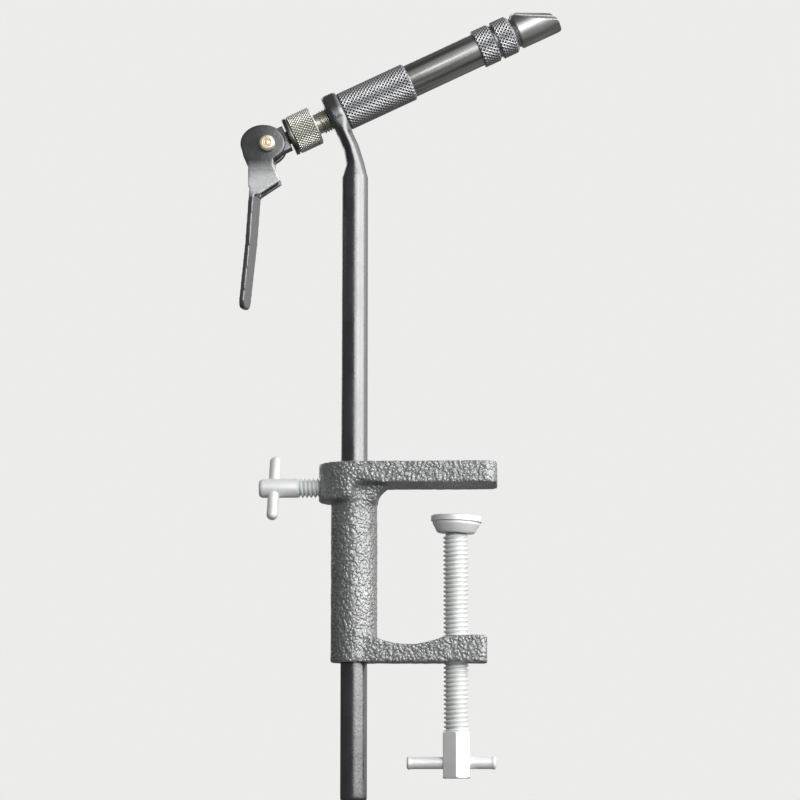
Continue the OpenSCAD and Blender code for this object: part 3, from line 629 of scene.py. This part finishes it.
def buildEnamel(name, base, dull, spots, gloss, ior, dents):
    look = {"bare": (0.50, 0.49, 0.47), "paintedSheen": (0.60, 0.605, 0.61), "scratched": (0.12, 0.12, 0.12),
            "rough": (0.22, 0.32), "roughScratched": 0.42, "roughBare": 0.38}
    material, tree, shader, here = newMaterial(name)
    mottle = mottled(tree, here, 11.0)
    scratch = scratched(tree, here, 1.6, 0.25)
    wear = worn(tree, here, spots, 0.6)
    colour = blendColours(tree, mottle["Broad"], base, dull)
    # painted sheen: the stored share colours the lever's lower flanks lighter, standing in for the light they catch
    colour = blendColours(tree, stored(tree, "paintedSheen"), colour, look["paintedSheen"])
    colour = blendColours(tree, times(tree, scratch, 0.35), colour, look["scratched"])
    rough = blendValues(tree, scratch, blendValues(tree, mottle["Broad"], *look["rough"]), look["roughScratched"])
    normal = bump(tree, noise(tree, here, 75.0, 1.0), dents)
    normal = bump(tree, noise(tree, here, 900.0), 0.035, 1.0, normal)  # orange peel
    normal = bump(tree, minus(tree, mottle["Fine"], wear), 0.02, 0.6, normal)
    feed(tree, shader, {
        "Base Color": blendColours(tree, wear, colour, look["bare"]), "Metallic": times(tree, wear, 0.8),
        "Roughness": blendValues(tree, wear, rough, look["roughBare"]), "Normal": normal,
        "Specular IOR Level": gloss, "IOR": ior})
    return material


def buildZinc():
    look = {"bright": (0.95, 0.955, 0.945), "dull": (0.83, 0.855, 0.84), "root": (0.60, 0.65, 0.625),
            "scratched": (0.42, 0.44, 0.43), "rough": (0.40, 0.60), "metallic": 0.28}
    material, tree, shader, here = newMaterial("bright zinc")
    mottle = mottled(tree, here, 6.0, 0.9)
    colour = blendColours(tree, times(tree, mottle["Broad"], 0.6), look["bright"], look["dull"])
    colour = blendColours(tree, between(tree, stored(tree, "crest"), 0.45, 0.0), colour, look["root"])
    colour = blendColours(tree, times(tree, scratched(tree, here, 1.2, 0.5), 0.3), colour, look["scratched"])
    normal = bump(tree, mottle["Fine"], 0.03, 1.0, bump(tree, lathed(tree, 0.12)["Height"], 0.012))
    feed(tree, shader, {
        "Base Color": colour, "Metallic": look["metallic"], "Normal": normal,
        "Roughness": blendValues(tree, mottle["Fine"], *look["rough"])})
    return material


def buildKnurled(name, crestColour, rootColour, roughCrest, roughRoot=0.5):
    material, tree, shader, here = newMaterial(name)
    mottle = mottled(tree, here, 5.0, 1.1)
    wear = worn(tree, here, 0.45, 0.5)
    crest = plus(tree, stored(tree, "crest"), times(tree, minus(tree, mottle["Fine"], 0.5), 0.5))
    top = between(tree, crest, 0.35, 0.95)
    colour = blendColours(tree, top, rootColour, crestColour)
    colour = blendColours(tree, times(tree, mottle["Broad"], 0.35), colour, scaledColour(crestColour, 0.55))
    colour = blendColours(tree, times(tree, wear, 0.8), colour, scaledColour(crestColour, 1.5))
    feed(tree, shader, {
        "Base Color": colour, "Metallic": 1.0, "Normal": bump(tree, mottle["Fine"], 0.03),
        "Roughness": blendValues(tree, top, roughRoot, roughCrest)})
    return material


def buildBarrelSteel():
    look = {"pale": (0.47, 0.48, 0.47), "dark": (0.17, 0.165, 0.16), "brown": (0.27, 0.20, 0.17),
            "oiled": (0.72, 0.71, 0.62), "oiledDark": (0.46, 0.45, 0.38), "tailEnd": (9.0, 7.0),
            "ground": (0.54, 0.54, 0.535), "groundDark": (0.29, 0.265, 0.265), "noseStart": (71.8, 73.0),
            "scratched": (0.5, 0.5, 0.49), "bare": (0.66, 0.66, 0.64), "rough": (0.26, 0.40), "roughNose": 0.04}
    material, tree, shader, here = newMaterial("dark polished steel")
    headwise = addNode(tree, "ShaderNodeMapping", vector_type="TEXTURE")
    feed(tree, headwise, {"Vector": here, "Rotation": (0.0, math.radians(headTilt), 0.0)})
    streak = noise(tree, mapped(tree, headwise.outputs[0], (1.0, 1.0, 0.03)), 620.0, 2.5)
    tint = noise(tree, mapped(tree, headwise.outputs[0], (1.0, 1.0, 0.12)), 260.0)
    along = stored(tree, "along")
    colour = blendColours(tree, between(tree, streak, 0.35, 0.68), look["pale"], look["dark"])
    colour = blendColours(tree, times(tree, between(tree, tint, 0.52, 0.68), 0.65), colour, look["brown"])
    oiled = blendColours(tree, streak, look["oiled"], look["oiledDark"])
    colour = blendColours(tree, between(tree, along, *look["tailEnd"]), colour, oiled)
    ground = between(tree, along, *look["noseStart"])  # the nose is ground brighter than the body
    nose = blendColours(tree, between(tree, tint, 0.42, 0.62), look["ground"], look["groundDark"])
    colour = blendColours(tree, times(tree, ground, 0.8), colour, nose)
    colour = blendColours(tree, times(tree, scratched(tree, here, 1.0, 0.45), 0.4), colour, look["scratched"])
    colour = blendColours(tree, times(tree, worn(tree, here, 0.5, 0.6), 0.75), colour, look["bare"])
    rough = blendValues(tree, blendValues(tree, 0.6, mottled(tree, here, 5.0)["Fine"], streak), *look["rough"])
    normal = bump(tree, streak, 0.02, 1.0, bump(tree, lathed(tree, 0.1)["Height"], 0.003))
    feed(tree, shader, {
        "Base Color": colour, "Metallic": 0.95, "Normal": normal,
        "Roughness": plus(tree, rough, times(tree, ground, look["roughNose"]))})
    return material


def buildTurned(name, colourA, colourB, metallic, rough):
    # plain turned metal for small fittings
    material, tree, shader, here = newMaterial(name)
    mottle = mottled(tree, here, 4.0)
    marks = lathed(tree, 0.12)
    shade = plus(tree, times(tree, mottle["Broad"], 0.6), times(tree, marks["Shade"], 0.4))
    colour = blendColours(tree, shade, colourA, colourB)
    colour = blendColours(tree, times(tree, worn(tree, here, 0.5, 0.6), 0.7), colour, scaledColour(colourA, 1.5, 0.08))
    normal = bump(tree, mottle["Fine"], 0.02, 1.0, bump(tree, marks["Height"], 0.008))
    feed(tree, shader, {
        "Base Color": colour, "Metallic": metallic, "Normal": normal,
        "Roughness": blendValues(tree, mottle["Fine"], rough - 0.07, rough + 0.1)})
    return material


hammertone = buildHammertone()
stemEnamel = buildEnamel("black enamel", (0.016, 0.017, 0.019), (0.036, 0.037, 0.041), 0.30, 0.8, 1.8, 0.12)
leverEnamel = buildEnamel("black enamel on sheet", (0.030, 0.031, 0.033), (0.060, 0.062, 0.065), 0.36, 1.0, 1.6, 0.5)
zinc = buildZinc()
blackKnurl = buildKnurled("blackened knurl", (0.48, 0.485, 0.50), (0.075, 0.075, 0.080), 0.34)
nutKnurl = buildKnurled("oiled steel knurl", (0.88, 0.88, 0.81), (0.30, 0.298, 0.260), 0.38)
barrelSteel = buildBarrelSteel()
greySteel = buildTurned("oiled grey steel", (0.15, 0.15, 0.135), (0.07, 0.07, 0.06), 1.0, 0.34)
brass = buildTurned("turned brass", (0.90, 0.75, 0.55), (0.78, 0.58, 0.38), 0.65, 0.32)
springSteel = buildTurned("spring wire", (0.50, 0.51, 0.52), (0.34, 0.35, 0.36), 1.0, 0.28)
print("materials built")


def rootOf(size):
    return size["outer"] - size["pitch"] * threadDepth


def threadedRod(name, size, z):
    # size: outer radius, pitch, length, radii at its start and end, columns, material; z is where it starts
    piece = newPiece(name, bpy.data.meshes.new(name))
    rows = rowsPerPitch * (math.ceil(size["length"] / size["pitch"]) + 1)
    runTree(piece, threadTree, {**size, "root": rootOf(size), "rows": rows})
    mesh = piece.data
    cleaned(mesh, 0.0005)
    storeValue(mesh, "along", coordsOf(mesh)[:, 2])
    storeSame(mesh, "edge", 0.0)
    mesh.transform(raised(z))
    smoothTo(mesh, 28)
    return piece


def knurledRing(name, size, material):
    # size: radius, bores as (radius, where it starts) steps, both ends and their edges, and the knurl's own values
    r, start, end = size["radius"], size["from"], size["to"]
    back, front = r - size["backEdge"], r - size["frontEdge"]
    low, high = start + size["backEdge"], end - size["frontEdge"]
    count = round((high - low) / (size["pitch"] / 6))  # six rows of the wall to each pitch
    wall = [(r, low + (high - low) * i / count, 0.0) for i in range(count + 1)]
    inner = []
    for (bore, z), after in zip(size["bores"], size["bores"][1:] + [(0, end)]):
        inner += [(bore, z, 0.0), (bore, after[1], 0.0)]
    outline = [(inner[0][0], start, 0.0), (back - 0.15, start, 0.3), (back, start + 0.05, 1.0)] + wall
    outline += [(front, end - 0.05, 1.0), (front - 0.15, end, 0.3), (inner[-1][0], end, 0.0)] + inner[-2:0:-1]
    piece = newPiece(name, turnedMesh(name, outline, int(6 * size["starts"]), True))
    pitch = 6 * (high - low) / count
    runTree(piece, knurlTree, {**size, "low": low, "high": high, "pitch": pitch, "material": material})
    cleaned(piece.data)
    smoothTo(piece.data, 20)
    return piece


# clamp frame: one casting, all its edges soft under the paint
clampSize = {"voxel": 0.42, "passes": 5, "edge": (7, 4.0), "lump": 2.0, "lumpHeight": 0.24, "seed": 4.0,
             "material": hammertone, "softAt": (-34.5, -10.5, -5.0), "softReach": (10.0, 8.0, 11.0), "softPasses": 120,
             "print": 10.8, "printFade": 1.5, "printDepth": 0.8, "boreReach": 0.45,
             "bores": [((stemX, 0, 0), upright, 4.81, -63.4, 7.7), ((0, 0, 0), upright, 4.56, -63.4, -53.8),
                       ((0, 0, lockZ), sideways, 3.51, -49.2, -40.0)]}
s = clampSize
casting = castCopy("clamp_frame", "clamp_casting", s)
markEdges(casting.data, *s["edge"])
melt(casting.data, s["softAt"], s["softReach"], s["softPasses"])
runTree(casting, castTree, s)
for origin, axis, radius, low, high in s["bores"]:
    trueUp(casting.data, np.array(origin) * mm, axis, radius, low, high, s["boreReach"])
co = coordsOf(casting.data)  # the place the pad presses is rubbed flat
pressed = np.clip((s["print"] * mm - np.hypot(co[:, 0], co[:, 1])) / (s["printFade"] * mm), 0, 1)
pressed *= (normalsOf(casting.data)[:, 2] < -0.5) & (np.abs(co[:, 2]) < s["printDepth"] * mm)
co[:, 2] *= 1 - pressed
setCoords(casting.data, co)
casting.data.shade_smooth()
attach(casting, "clamp")
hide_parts("clamp_frame")
print("clamp frame cast,", len(casting.data.polygons), "faces")

# stem: round rod, flattened and bent into the eye
stemSize = {"voxel": 0.42, "passes": 10, "edge": (6, 3.2), "radius": 4.75, "reach": 0.6, "low": -111.4, "high": 114.5,
            "fade": 1.5, "bore": 4.46, "boreHalf": 2.6}
s = stemSize
rod = castCopy("stem", "stem_rod", s)
trueUp(rod.data, (stemX * mm, 0, 0), upright, s["radius"], s["low"], s["high"], s["reach"], s["fade"])
headAxis = headPlace.to_3x3() @ Vector(upright)
trueUp(rod.data, headPlace.translation, headAxis, s["bore"], -s["boreHalf"], s["boreHalf"], s["reach"])
markEdges(rod.data, *s["edge"])
rod.data.shade_smooth()
rod.data.materials.append(stemEnamel)
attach(rod, "stem")
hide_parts("stem")
print("stem drawn")

# cam lever: pressed sheet, its flanks drawn in towards the blade and its lower outer flanks given a painted sheen;
# heights are from the pin
leverSize = {"voxel": 0.27, "passes": 16, "edge": (6, 5.0), "creaseZ": -9.3, "waistZ": -16.6, "flareZ": -23.0,
             "waist": 0.17, "dome": 0.7, "domeReach": 12.0, "domeLimit": 14.0, "domeEnd": -16.0, "domeFade": 6.0,
             "rubbedTop": -6.0, "rubbedTopFade": 6.0, "rubbedEnd": -20.0, "rubbedEndFade": 3.0, "outerFace": 3.6,
             "rubbedFace": 3.2}
s = leverSize
lever = castCopy("cam_lever", "lever_pressing", s)
pin = leverPlace.translation
co = coordsOf(lever.data)
down = co[:, 2] / mm - pin.z / mm
drawn = np.clip((s["creaseZ"] - down) / (s["creaseZ"] - s["waistZ"]), 0, 1)
flared = np.clip((s["waistZ"] - down) / (s["waistZ"] - s["flareZ"]), 0, 1)
co[:, 1] *= 1 - s["waist"] * (drawn * (1 - flared * flared * (3 - 2 * flared)))
fromPin = np.clip(np.hypot(co[:, 0] - pin.x, co[:, 2] - pin.z) / mm, 0, s["domeLimit"])
dome = s["dome"] * (fromPin / s["domeReach"]) ** 2 * np.clip((down - s["domeEnd"]) / s["domeFade"], 0, 1)
outside = np.clip(np.abs(co[:, 1]) / mm - s["outerFace"], 0, 1)  # the outer faces only, so the sheet thins to its rim
co[:, 1] -= np.sign(co[:, 1]) * dome * outside * mm
setCoords(lever.data, co)
markEdges(lever.data, *s["edge"])
paintedSheen = np.clip((s["rubbedTop"] - down) / s["rubbedTopFade"], 0, 1)  # painted sheen: the lower flanks are coloured lighter, standing in for the light they catch
paintedSheen *= np.clip((down - s["rubbedEnd"]) / s["rubbedEndFade"], 0, 1)
storeValue(lever.data, "paintedSheen", paintedSheen * np.clip(np.abs(co[:, 1]) / mm - s["rubbedFace"], 0, 1))
lever.data.shade_smooth()
lever.data.materials.append(leverEnamel)
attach(lever, "lever")
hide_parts("cam_lever")
print("lever pressed")

# clamp screw: rolled thread, hexagonal head with the bar's hole, riveted neck
screwSize = {"outer": 4.5, "pitch": 1.6, "length": 70.0, "columns": 56, "start": 4.4, "end": 3.7, "material": zinc,
             "top": -17.6, "bottom": -87.6, "across": 9.5, "headLength": 16.6, "edge": 0.35, "taper": 0.8,
             "barBore": 2.21, "neck": 1.9, "rivet": 3.3, "rivetTop": -12.0, "rivetHeight": 1.1}
s = screwSize
screwThread = threadedRod("clamp_screw_turned", s, s["bottom"])
corner, taper, headTop = s["across"] / 2 / math.cos(math.radians(30)), s["taper"], s["bottom"]
headBottom = headTop - s["headLength"]
hexMesh = shapedMesh("hex", bmesh.ops.create_cone, cap_ends=True, segments=6, radius1=corner, radius2=corner,
                     depth=s["headLength"], matrix=raised(headBottom + s["headLength"] / 2))
hexHead = newPiece("hex", hexMesh, zinc)
bevelled(hexHead, s["edge"])
wide = corner + 0.05
carve(hexHead, turnedPiece("mask", [
    (0, headBottom, 0), (corner - taper, headBottom, 0), (wide, headBottom + taper, 0), (wide, headTop - taper, 0),
    (corner - taper, headTop, 0), (0, headTop, 0)], 96, False, zinc), "INTERSECT")
drill = turnedPiece("drill", [(0, -9, 0), (s["barBore"], -9, 0), (s["barBore"], 9, 0), (0, 9, 0)], 48, False, zinc)
drill.data.transform(raised(barZ) @ turn(90, "Y"))
carve(hexHead, drill, "DIFFERENCE")
storeValue(hexHead.data, "along", coordsOf(hexHead.data)[:, 2] * 0.3)
storeSame(hexHead.data, "crest", 0.6)
storeSame(hexHead.data, "edge", 0.0)
smoothTo(hexHead.data, 28)
neck, rivet, rivetTop, rivetFoot = s["neck"], s["rivet"], s["rivetTop"], s["rivetTop"] - s["rivetHeight"]
neckPiece = turnedPiece("neck", [
    (0, s["top"] - 1.0, 0), (neck, s["top"] - 1.0, 0), (neck, rivetFoot, 0), (rivet, rivetFoot, 0.2),
    (rivet - 0.1, rivetTop - 0.3, 0.3), (rivet - 1.2, rivetTop, 0.4), (0, rivetTop, 0)], 48, False, zinc)
finishPiece(joined([screwThread, hexHead, neckPiece]), Matrix.Identity(4), "clamp_screw", "zinc", "clamp_screw")

# tommy bar with swaged ends
barSize = {"half": 15.8, "radius": 2.15, "swage": 2.32, "swageLength": 0.9, "x": -1.8}
half, r, sw, sl = barSize["half"], barSize["radius"], barSize["swage"], barSize["swageLength"]
tommy = turnedPiece("tommy_bar_turned", [
    (0, -half, 0), (sw - 0.4, -half, 0.35), (sw, 0.5 - half, 0.3), (sw, sl - half, 0.3), (r, 2 * sl - half, -0.5),
    (r, -2 * sl + half, -0.5), (sw, half - sl, 0.3), (sw, half - 0.5, 0.3), (sw - 0.4, half, 0.35), (0, half, 0)],
    48, False, zinc)
finishPiece(tommy, shift(barSize["x"], 0, barZ) @ turn(90, "Y"), "tommy_bar", "zinc", "clamp_screw_bar")

# pressure pad: a turned cup with a stepped rim
padSize = {"hole": 2.5, "base": 6.7, "rim": 9.15, "step": 8.45, "height": 6.1, "rimHeight": 2.1, "ledge": 0.9,
           "socket": 4.8, "socketDepth": 2.4, "z": -17.1, "lean": 2.5}
s = padSize
stepTop, socketFloor = s["height"] - s["rimHeight"], s["height"] - s["socketDepth"]
pad = turnedPiece("pad_turned", [
    (s["hole"], 0, 0.2), (s["base"], 0, 0.5), (s["step"], stepTop - s["ledge"], -0.25), (s["step"], stepTop, -0.12),
    (s["rim"], stepTop, 0.25), (s["rim"], s["height"], 0.5), (s["socket"], s["height"], 0.3),
    (s["socket"], socketFloor, -0.3), (s["hole"], socketFloor, 0.2)], 96, True, zinc)
finishPiece(pad, shift(0, 0, s["z"]) @ turn(s["lean"], "Y"), "pad", "zinc", "pressure_pad")
print("clamp screw and pad turned")

# stem lock screw and its cross bar
lockSize = {"outer": 3.45, "pitch": 1.5, "length": 16.02, "columns": 48, "start": 3.3, "end": 2.7, "material": zinc,
            "plain": 13.5, "chamfer": 0.7, "chamferLength": 0.9, "x": -70.8}
s = lockSize
r, shankEnd = s["outer"], s["plain"] + 1.1
lockThread = threadedRod("lock_screw_turned", s, s["plain"])
shank = turnedPiece("shank", [
    (0, 0, 0), (r - s["chamfer"], 0, 0.5), (r, s["chamferLength"], 0.6), (r, s["plain"] + 0.3, 0.2),
    (r - 0.9, shankEnd, 0), (0, shankEnd, 0)], 64, False, zinc)
lockScrew = joined([lockThread, shank])
finishPiece(lockScrew, shift(s["x"], 0, lockZ) @ turn(90, "Y"), "lock_screw", "zinc", "stem_lock_screw")
crossSize = {"half": 13.5, "radius": 2.05, "end": 1.0, "x": -65.5, "lean": -30}
half, r, end = crossSize["half"], crossSize["radius"], crossSize["end"]
cross = turnedPiece("cross_bar_turned", [
    (0, -half, 0), (r - end, -half, 0.6), (r, end - half, 0.8), (r, half - end, 0.8), (r - end, half, 0.6),
    (0, half, 0)], 48, False, zinc)
crossPlace = shift(crossSize["x"], 0, lockZ) @ turn(crossSize["lean"], "X")
finishPiece(cross, crossPlace, "lock_screw", "zinc", "lock_screw_bar")
print("lock screw turned")

# barrel: threaded tail in two lengths, relief, shoulder and smooth body
barrelSize = {"outer": 4.4, "pitch": 1.06, "columns": 56, "start": 3.9, "material": barrelSteel, "tailBack": -14.45,
              "nutFront": -8.3, "reliefEnd": -6.5, "eyeFront": -2.9, "shoulder": 19.33, "body": 6.15, "front": 68.0,
              "bore": 4.6, "rodBore": 2.8, "chamberBack": 23.53}
s = barrelSize
root, tailEnd = rootOf(s) - 0.02, s["tailBack"] - 0.01
tailThread = threadedRod("barrel_turned", {**s, "length": s["nutFront"] - s["tailBack"], "end": 3.9}, s["tailBack"])
eyeThread = threadedRod("eyeThread", {**s, "length": s["eyeFront"] - s["reliefEnd"], "end": 4.2}, s["reliefEnd"])
bodyPiece = turnedPiece("body", [
    (s["rodBore"], tailEnd, 0), (root, tailEnd, 0), (root, s["eyeFront"] - 0.4, 0),
    (s["outer"], s["eyeFront"] + 0.3, 0.2), (s["outer"], s["shoulder"], -0.2), (s["body"], s["shoulder"], 0.4),
    (s["body"], s["front"], 0.4), (s["bore"], s["front"], 0.2), (s["bore"], s["chamberBack"], 0),
    (s["rodBore"], s["chamberBack"], 0)], 128, True, barrelSteel)
finishPiece(joined([tailThread, eyeThread, bodyPiece]), headPlace, "barrel", "dark_steel", "barrel")

# knurled pieces and the washer on the head; a bore is its radius and where it starts
knurl = {"starts": 30.0, "pitch": 1.72, "depth": 0.36, "flat": 0.86, "ridges": 1.0}
sleeveSize = {**knurl, "radius": 7.1, "bores": [(4.46, 2.93), (6.21, 19.03)], "from": 2.93, "to": 29.73,
              "backEdge": 0.4, "frontEdge": 0.55}
ringSize = {**knurl, "radius": 7.15, "bores": [(6.21, 57.5)], "from": 57.5, "to": 64.5, "backEdge": 0.25,
            "frontEdge": 1.0}
closingSize = {**ringSize, "from": 65.1, "to": 71.7, "bores": [(6.21, 65.1), (4.6, 68.03), (5.71, 71.7)]}
nutSize = {"radius": 7.25, "bores": [(4.46, -17.6)], "from": -17.6, "to": -8.3, "backEdge": 0.5, "frontEdge": 0.6,
           "starts": 38.0, "pitch": 1.36, "depth": 0.28, "flat": 0.72, "ridges": 0.0}
for body, size, material, slot, node in (
        ("sleeve", sleeveSize, blackKnurl, "blackened_knurl", "lock_sleeve"),
        ("lock_ring", ringSize, blackKnurl, "blackened_knurl", "ring_lock_nut"),
        ("closing_ring", closingSize, blackKnurl, "blackened_knurl", "closing_ring"),
        ("nut", nutSize, nutKnurl, "grey_steel", "adjusting_nut")):
    finishPiece(knurledRing(body + "_knurled", size, material), headPlace, body, slot, node)
washerSize = {"bore": 2.8, "radius": 7.1, "back": -19.25, "front": -17.75}
s = washerSize
washer = turnedPiece("washer_turned", [
    (s["bore"], s["back"], 0.1), (s["radius"], s["back"], 0.3), (s["radius"], s["front"], 0.35),
    (s["bore"], s["front"], 0.1)], 96, True, greySteel)
finishPiece(washer, headPlace, "washer", "grey_steel", "cam_washer")
print("head turned and knurled")

# split jaws: cut from one turned nose, their edges broken
jawSize = {"voxel": 0.2, "passes": 3, "edge": (9, 4.5), "noseRadius": 6.55, "noseBack": 73.5, "noseFront": 88.1,
           "reach": 0.3, "root": 42.58, "open": 0.5389}
s = jawSize
for side, label in ((-1, "near"), (1, "far")):
    jaw = castCopy("jaw_" + label, "jaw_" + label + "_ground", s)
    opened = shift(0, 0, s["root"]) @ turn(-side * s["open"], "X") @ shift(0, 0, -s["root"])
    hinge = headPlace @ turn(jawRoll, "Z") @ opened
    trueUp(jaw.data, hinge.translation, hinge.to_3x3() @ Vector(upright), s["noseRadius"], s["noseBack"],
           s["noseFront"], s["reach"])
    markEdges(jaw.data, *s["edge"])
    local = coordsOf(jaw.data) @ np.array(hinge.inverted().to_3x3()).T
    storeValue(jaw.data, "along", local[:, 2] / mm)
    jaw.data.shade_smooth()
    jaw.data.materials.append(barrelSteel)
    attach(jaw, label + "_jaw")
    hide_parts("jaw_" + label)

# pivot pin: dimpled head with a turned ring, peened far end
pinSize = {"half": 5.03, "head": 2.95, "headHeight": 2.6, "shank": 2.0, "peen": 2.65, "peenHeight": 0.8, "dimple": 0.8,
           "dimpleDepth": 0.12, "ringDepth": 0.17}
s = pinSize
half, top, foot, groove = s["half"], s["half"] + s["headHeight"], -s["half"] - s["peenHeight"], s["ringDepth"]
dimple = [(s["dimple"] * math.sin(a), top - s["dimpleDepth"] + s["dimpleDepth"] * math.cos(a), 0.0)
          for a in (1.35, 1.05, 0.7, 0.35, 0.0)]
pinPiece = turnedPiece("pivot_pin_turned", [
    (0, foot, 0), (2.1, foot, 0.5), (s["peen"], -half - 0.35, 0.3), (s["peen"], -half, 0.1), (s["shank"], -half, 0),
    (s["shank"], half, 0), (s["head"], half, 0.2), (s["head"], top - 0.6, 0.5), (2.3, top, 0.45), (1.5, top, 0.04),
    (1.42, top - groove, 0), (1.18, top - groove, 0), (1.1, top, 0.04), (0.84, top, 0.05)], 64, False, brass, dimple)
finishPiece(pinPiece, leverPlace, "lever", "brass", "pivot_pin")

# eye block inside the fork
eyeSize = {"edge": 0.25}
eyeMesh = nodes["drawbar_eye"].data.copy()
cleaned(eyeMesh, 1e-7)
eyeBlock = newPiece("eye_block_milled", eyeMesh, leverEnamel)
bevelled(eyeBlock, eyeSize["edge"] * mm)
smoothTo(eyeBlock.data, 30)
storeSame(eyeBlock.data, "edge", 0.0)
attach(eyeBlock, "drawbar")
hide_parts("drawbar_eye")

# inner pieces keep their drawn shape and get their metal
for node, material in (("drawbar", greySteel), ("return_spring", springSteel), ("jaw_spreader_spring", springSteel)):
    for slot in nodes[node].material_slots:
        slot.material = material
    if not nodes[node].material_slots:
        nodes[node].data.materials.append(material)
print("jaws, pin and inner pieces placed")

# stage, light and camera; a gloss range is where it starts and ends and what the sky gives at each
studio = {"floorZ": -112.6, "floorColour": (0.90, 0.90, 0.89), "pale": (0.84, 0.84, 0.83), "fill": 0.19,
          "floorUnder": 0.13, "floorMirrored": 0.22, "floorMirroredFar": 0.5, "floorGlow": 0.05, "fade": (0.20, 0.48),
          "litFrom": (0.12, 0.40), "litTo": (0.85, 0.60), "glossAcross": (-0.25, 0.65, 0.2, 2.3),
          "glossBehind": (0.1, 0.95, 1.0, 0.4), "glossBelow": (-0.4, 0.1, 0.3, 1.0), "middle": (-0.02, 0, 0.03),
          "cameraAt": (19, -950, -109.5), "lookAt": (-20.024, 0, 31.272), "focalPixels": 2659.7}
black = (0.0, 0.0, 0.0)
floorMesh = shapedMesh("studio_floor", bmesh.ops.create_grid, x_segments=1, y_segments=1, size=6.0)
floorMesh.transform(shift(0, 0, studio["floorZ"]))
floorPaint, tree, shader, here = newMaterial("pale floor")
ray = addNode(tree, "ShaderNodeLightPath").outputs
y = apart(tree, here)[1]
lit = times(tree, between(tree, y, *studio["litFrom"]), between(tree, y, *studio["litTo"]))
mirrored = blendColours(tree, lit, (studio["floorMirrored"],) * 3, (studio["floorMirroredFar"],) * 3)
shade = blendColours(tree, ray["Is Glossy Ray"], (studio["floorUnder"],) * 3, mirrored)
far = addNode(tree, "ShaderNodeVectorMath", {0: here}, operation="LENGTH").outputs["Value"]
fade = between(tree, far, *studio["fade"])  # the floor runs into the backdrop
nearby = blendColours(tree, fade, studio["floorColour"], black)
glow = blendColours(tree, fade, (studio["floorGlow"],) * 3, studio["pale"])
feed(tree, shader, {
    "Base Color": blendColours(tree, ray["Is Camera Ray"], shade, nearby), "Roughness": 0.9,
    "Emission Color": blendColours(tree, ray["Is Camera Ray"], black, glow),
    "Emission Strength": 1.0, "Specular IOR Level": 0.0})
floor = newPiece("studio_floor", floorMesh, floorPaint)
floor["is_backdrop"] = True


def aim(thing, at, towards, unit=1.0):
    thing.location = Vector(at) * unit
    thing.rotation_mode = "QUATERNION"
    thing.rotation_quaternion = (Vector(towards) - Vector(at)).to_track_quat("-Z", "Y")


for name, at, width, height, watts, colour in (
        ("window right", (1.07, -0.64, 0.46), 1.5, 1.0, 19.5, (1.0, 0.99, 0.98)),
        ("window front", (0.30, -1.0, 0.26), 0.6, 0.65, 4.6, (0.97, 0.99, 1.0)),
        ("fill back", (-0.5, 1.1, 0.6), 0.9, 0.9, 4.5, (1, 1, 1))):
    lamp = withSettings(bpy.data.lights.new(name, "AREA"), shape="RECTANGLE", size=width, size_y=height, energy=watts,
                        color=colour)
    softbox = newPiece(name, lamp)
    softbox.visible_camera = False
    aim(softbox, at, studio["middle"])

world = bpy.data.worlds.new("pale studio")
bpy.context.scene.world = world
world.use_nodes = True
tree = world.node_tree
tree.nodes.clear()
ray = addNode(tree, "ShaderNodeLightPath").outputs
x, y, z = apart(tree, addNode(tree, "ShaderNodeTexCoord").outputs["Generated"])
glossy = between(tree, x, *studio["glossAcross"])  # reflections find it bright to the right, dim behind and below
glossy = times(tree, glossy, between(tree, y, *studio["glossBehind"]))
glossy = times(tree, glossy, between(tree, z, *studio["glossBelow"]))
diffuse = times(tree, studio["fill"], minus(tree, 1.0, ray["Is Glossy Ray"]))
shown = plus(tree, times(tree, glossy, ray["Is Glossy Ray"]), diffuse)
seen = most(tree, ray["Is Camera Ray"], ray["Is Transmission Ray"])
sky = addNode(tree, "ShaderNodeBackground", {
    "Color": (*studio["pale"], 1.0), "Strength": blendValues(tree, seen, shown, 1.0)})
addNode(tree, "ShaderNodeOutputWorld", {"Surface": sky.outputs[0]})

camera = withSettings(bpy.data.cameras.new("photograph"), sensor_fit="HORIZONTAL", sensor_width=36.0,
                      lens=studio["focalPixels"] * 36.0 / 800, clip_start=0.01, clip_end=20.0)
viewer = newPiece("photograph", camera)
aim(viewer, studio["cameraAt"], studio["lookAt"], mm)
bpy.context.scene.camera = viewer
bpy.context.scene.view_settings.view_transform = "Standard"
print("studio set")

low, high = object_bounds()
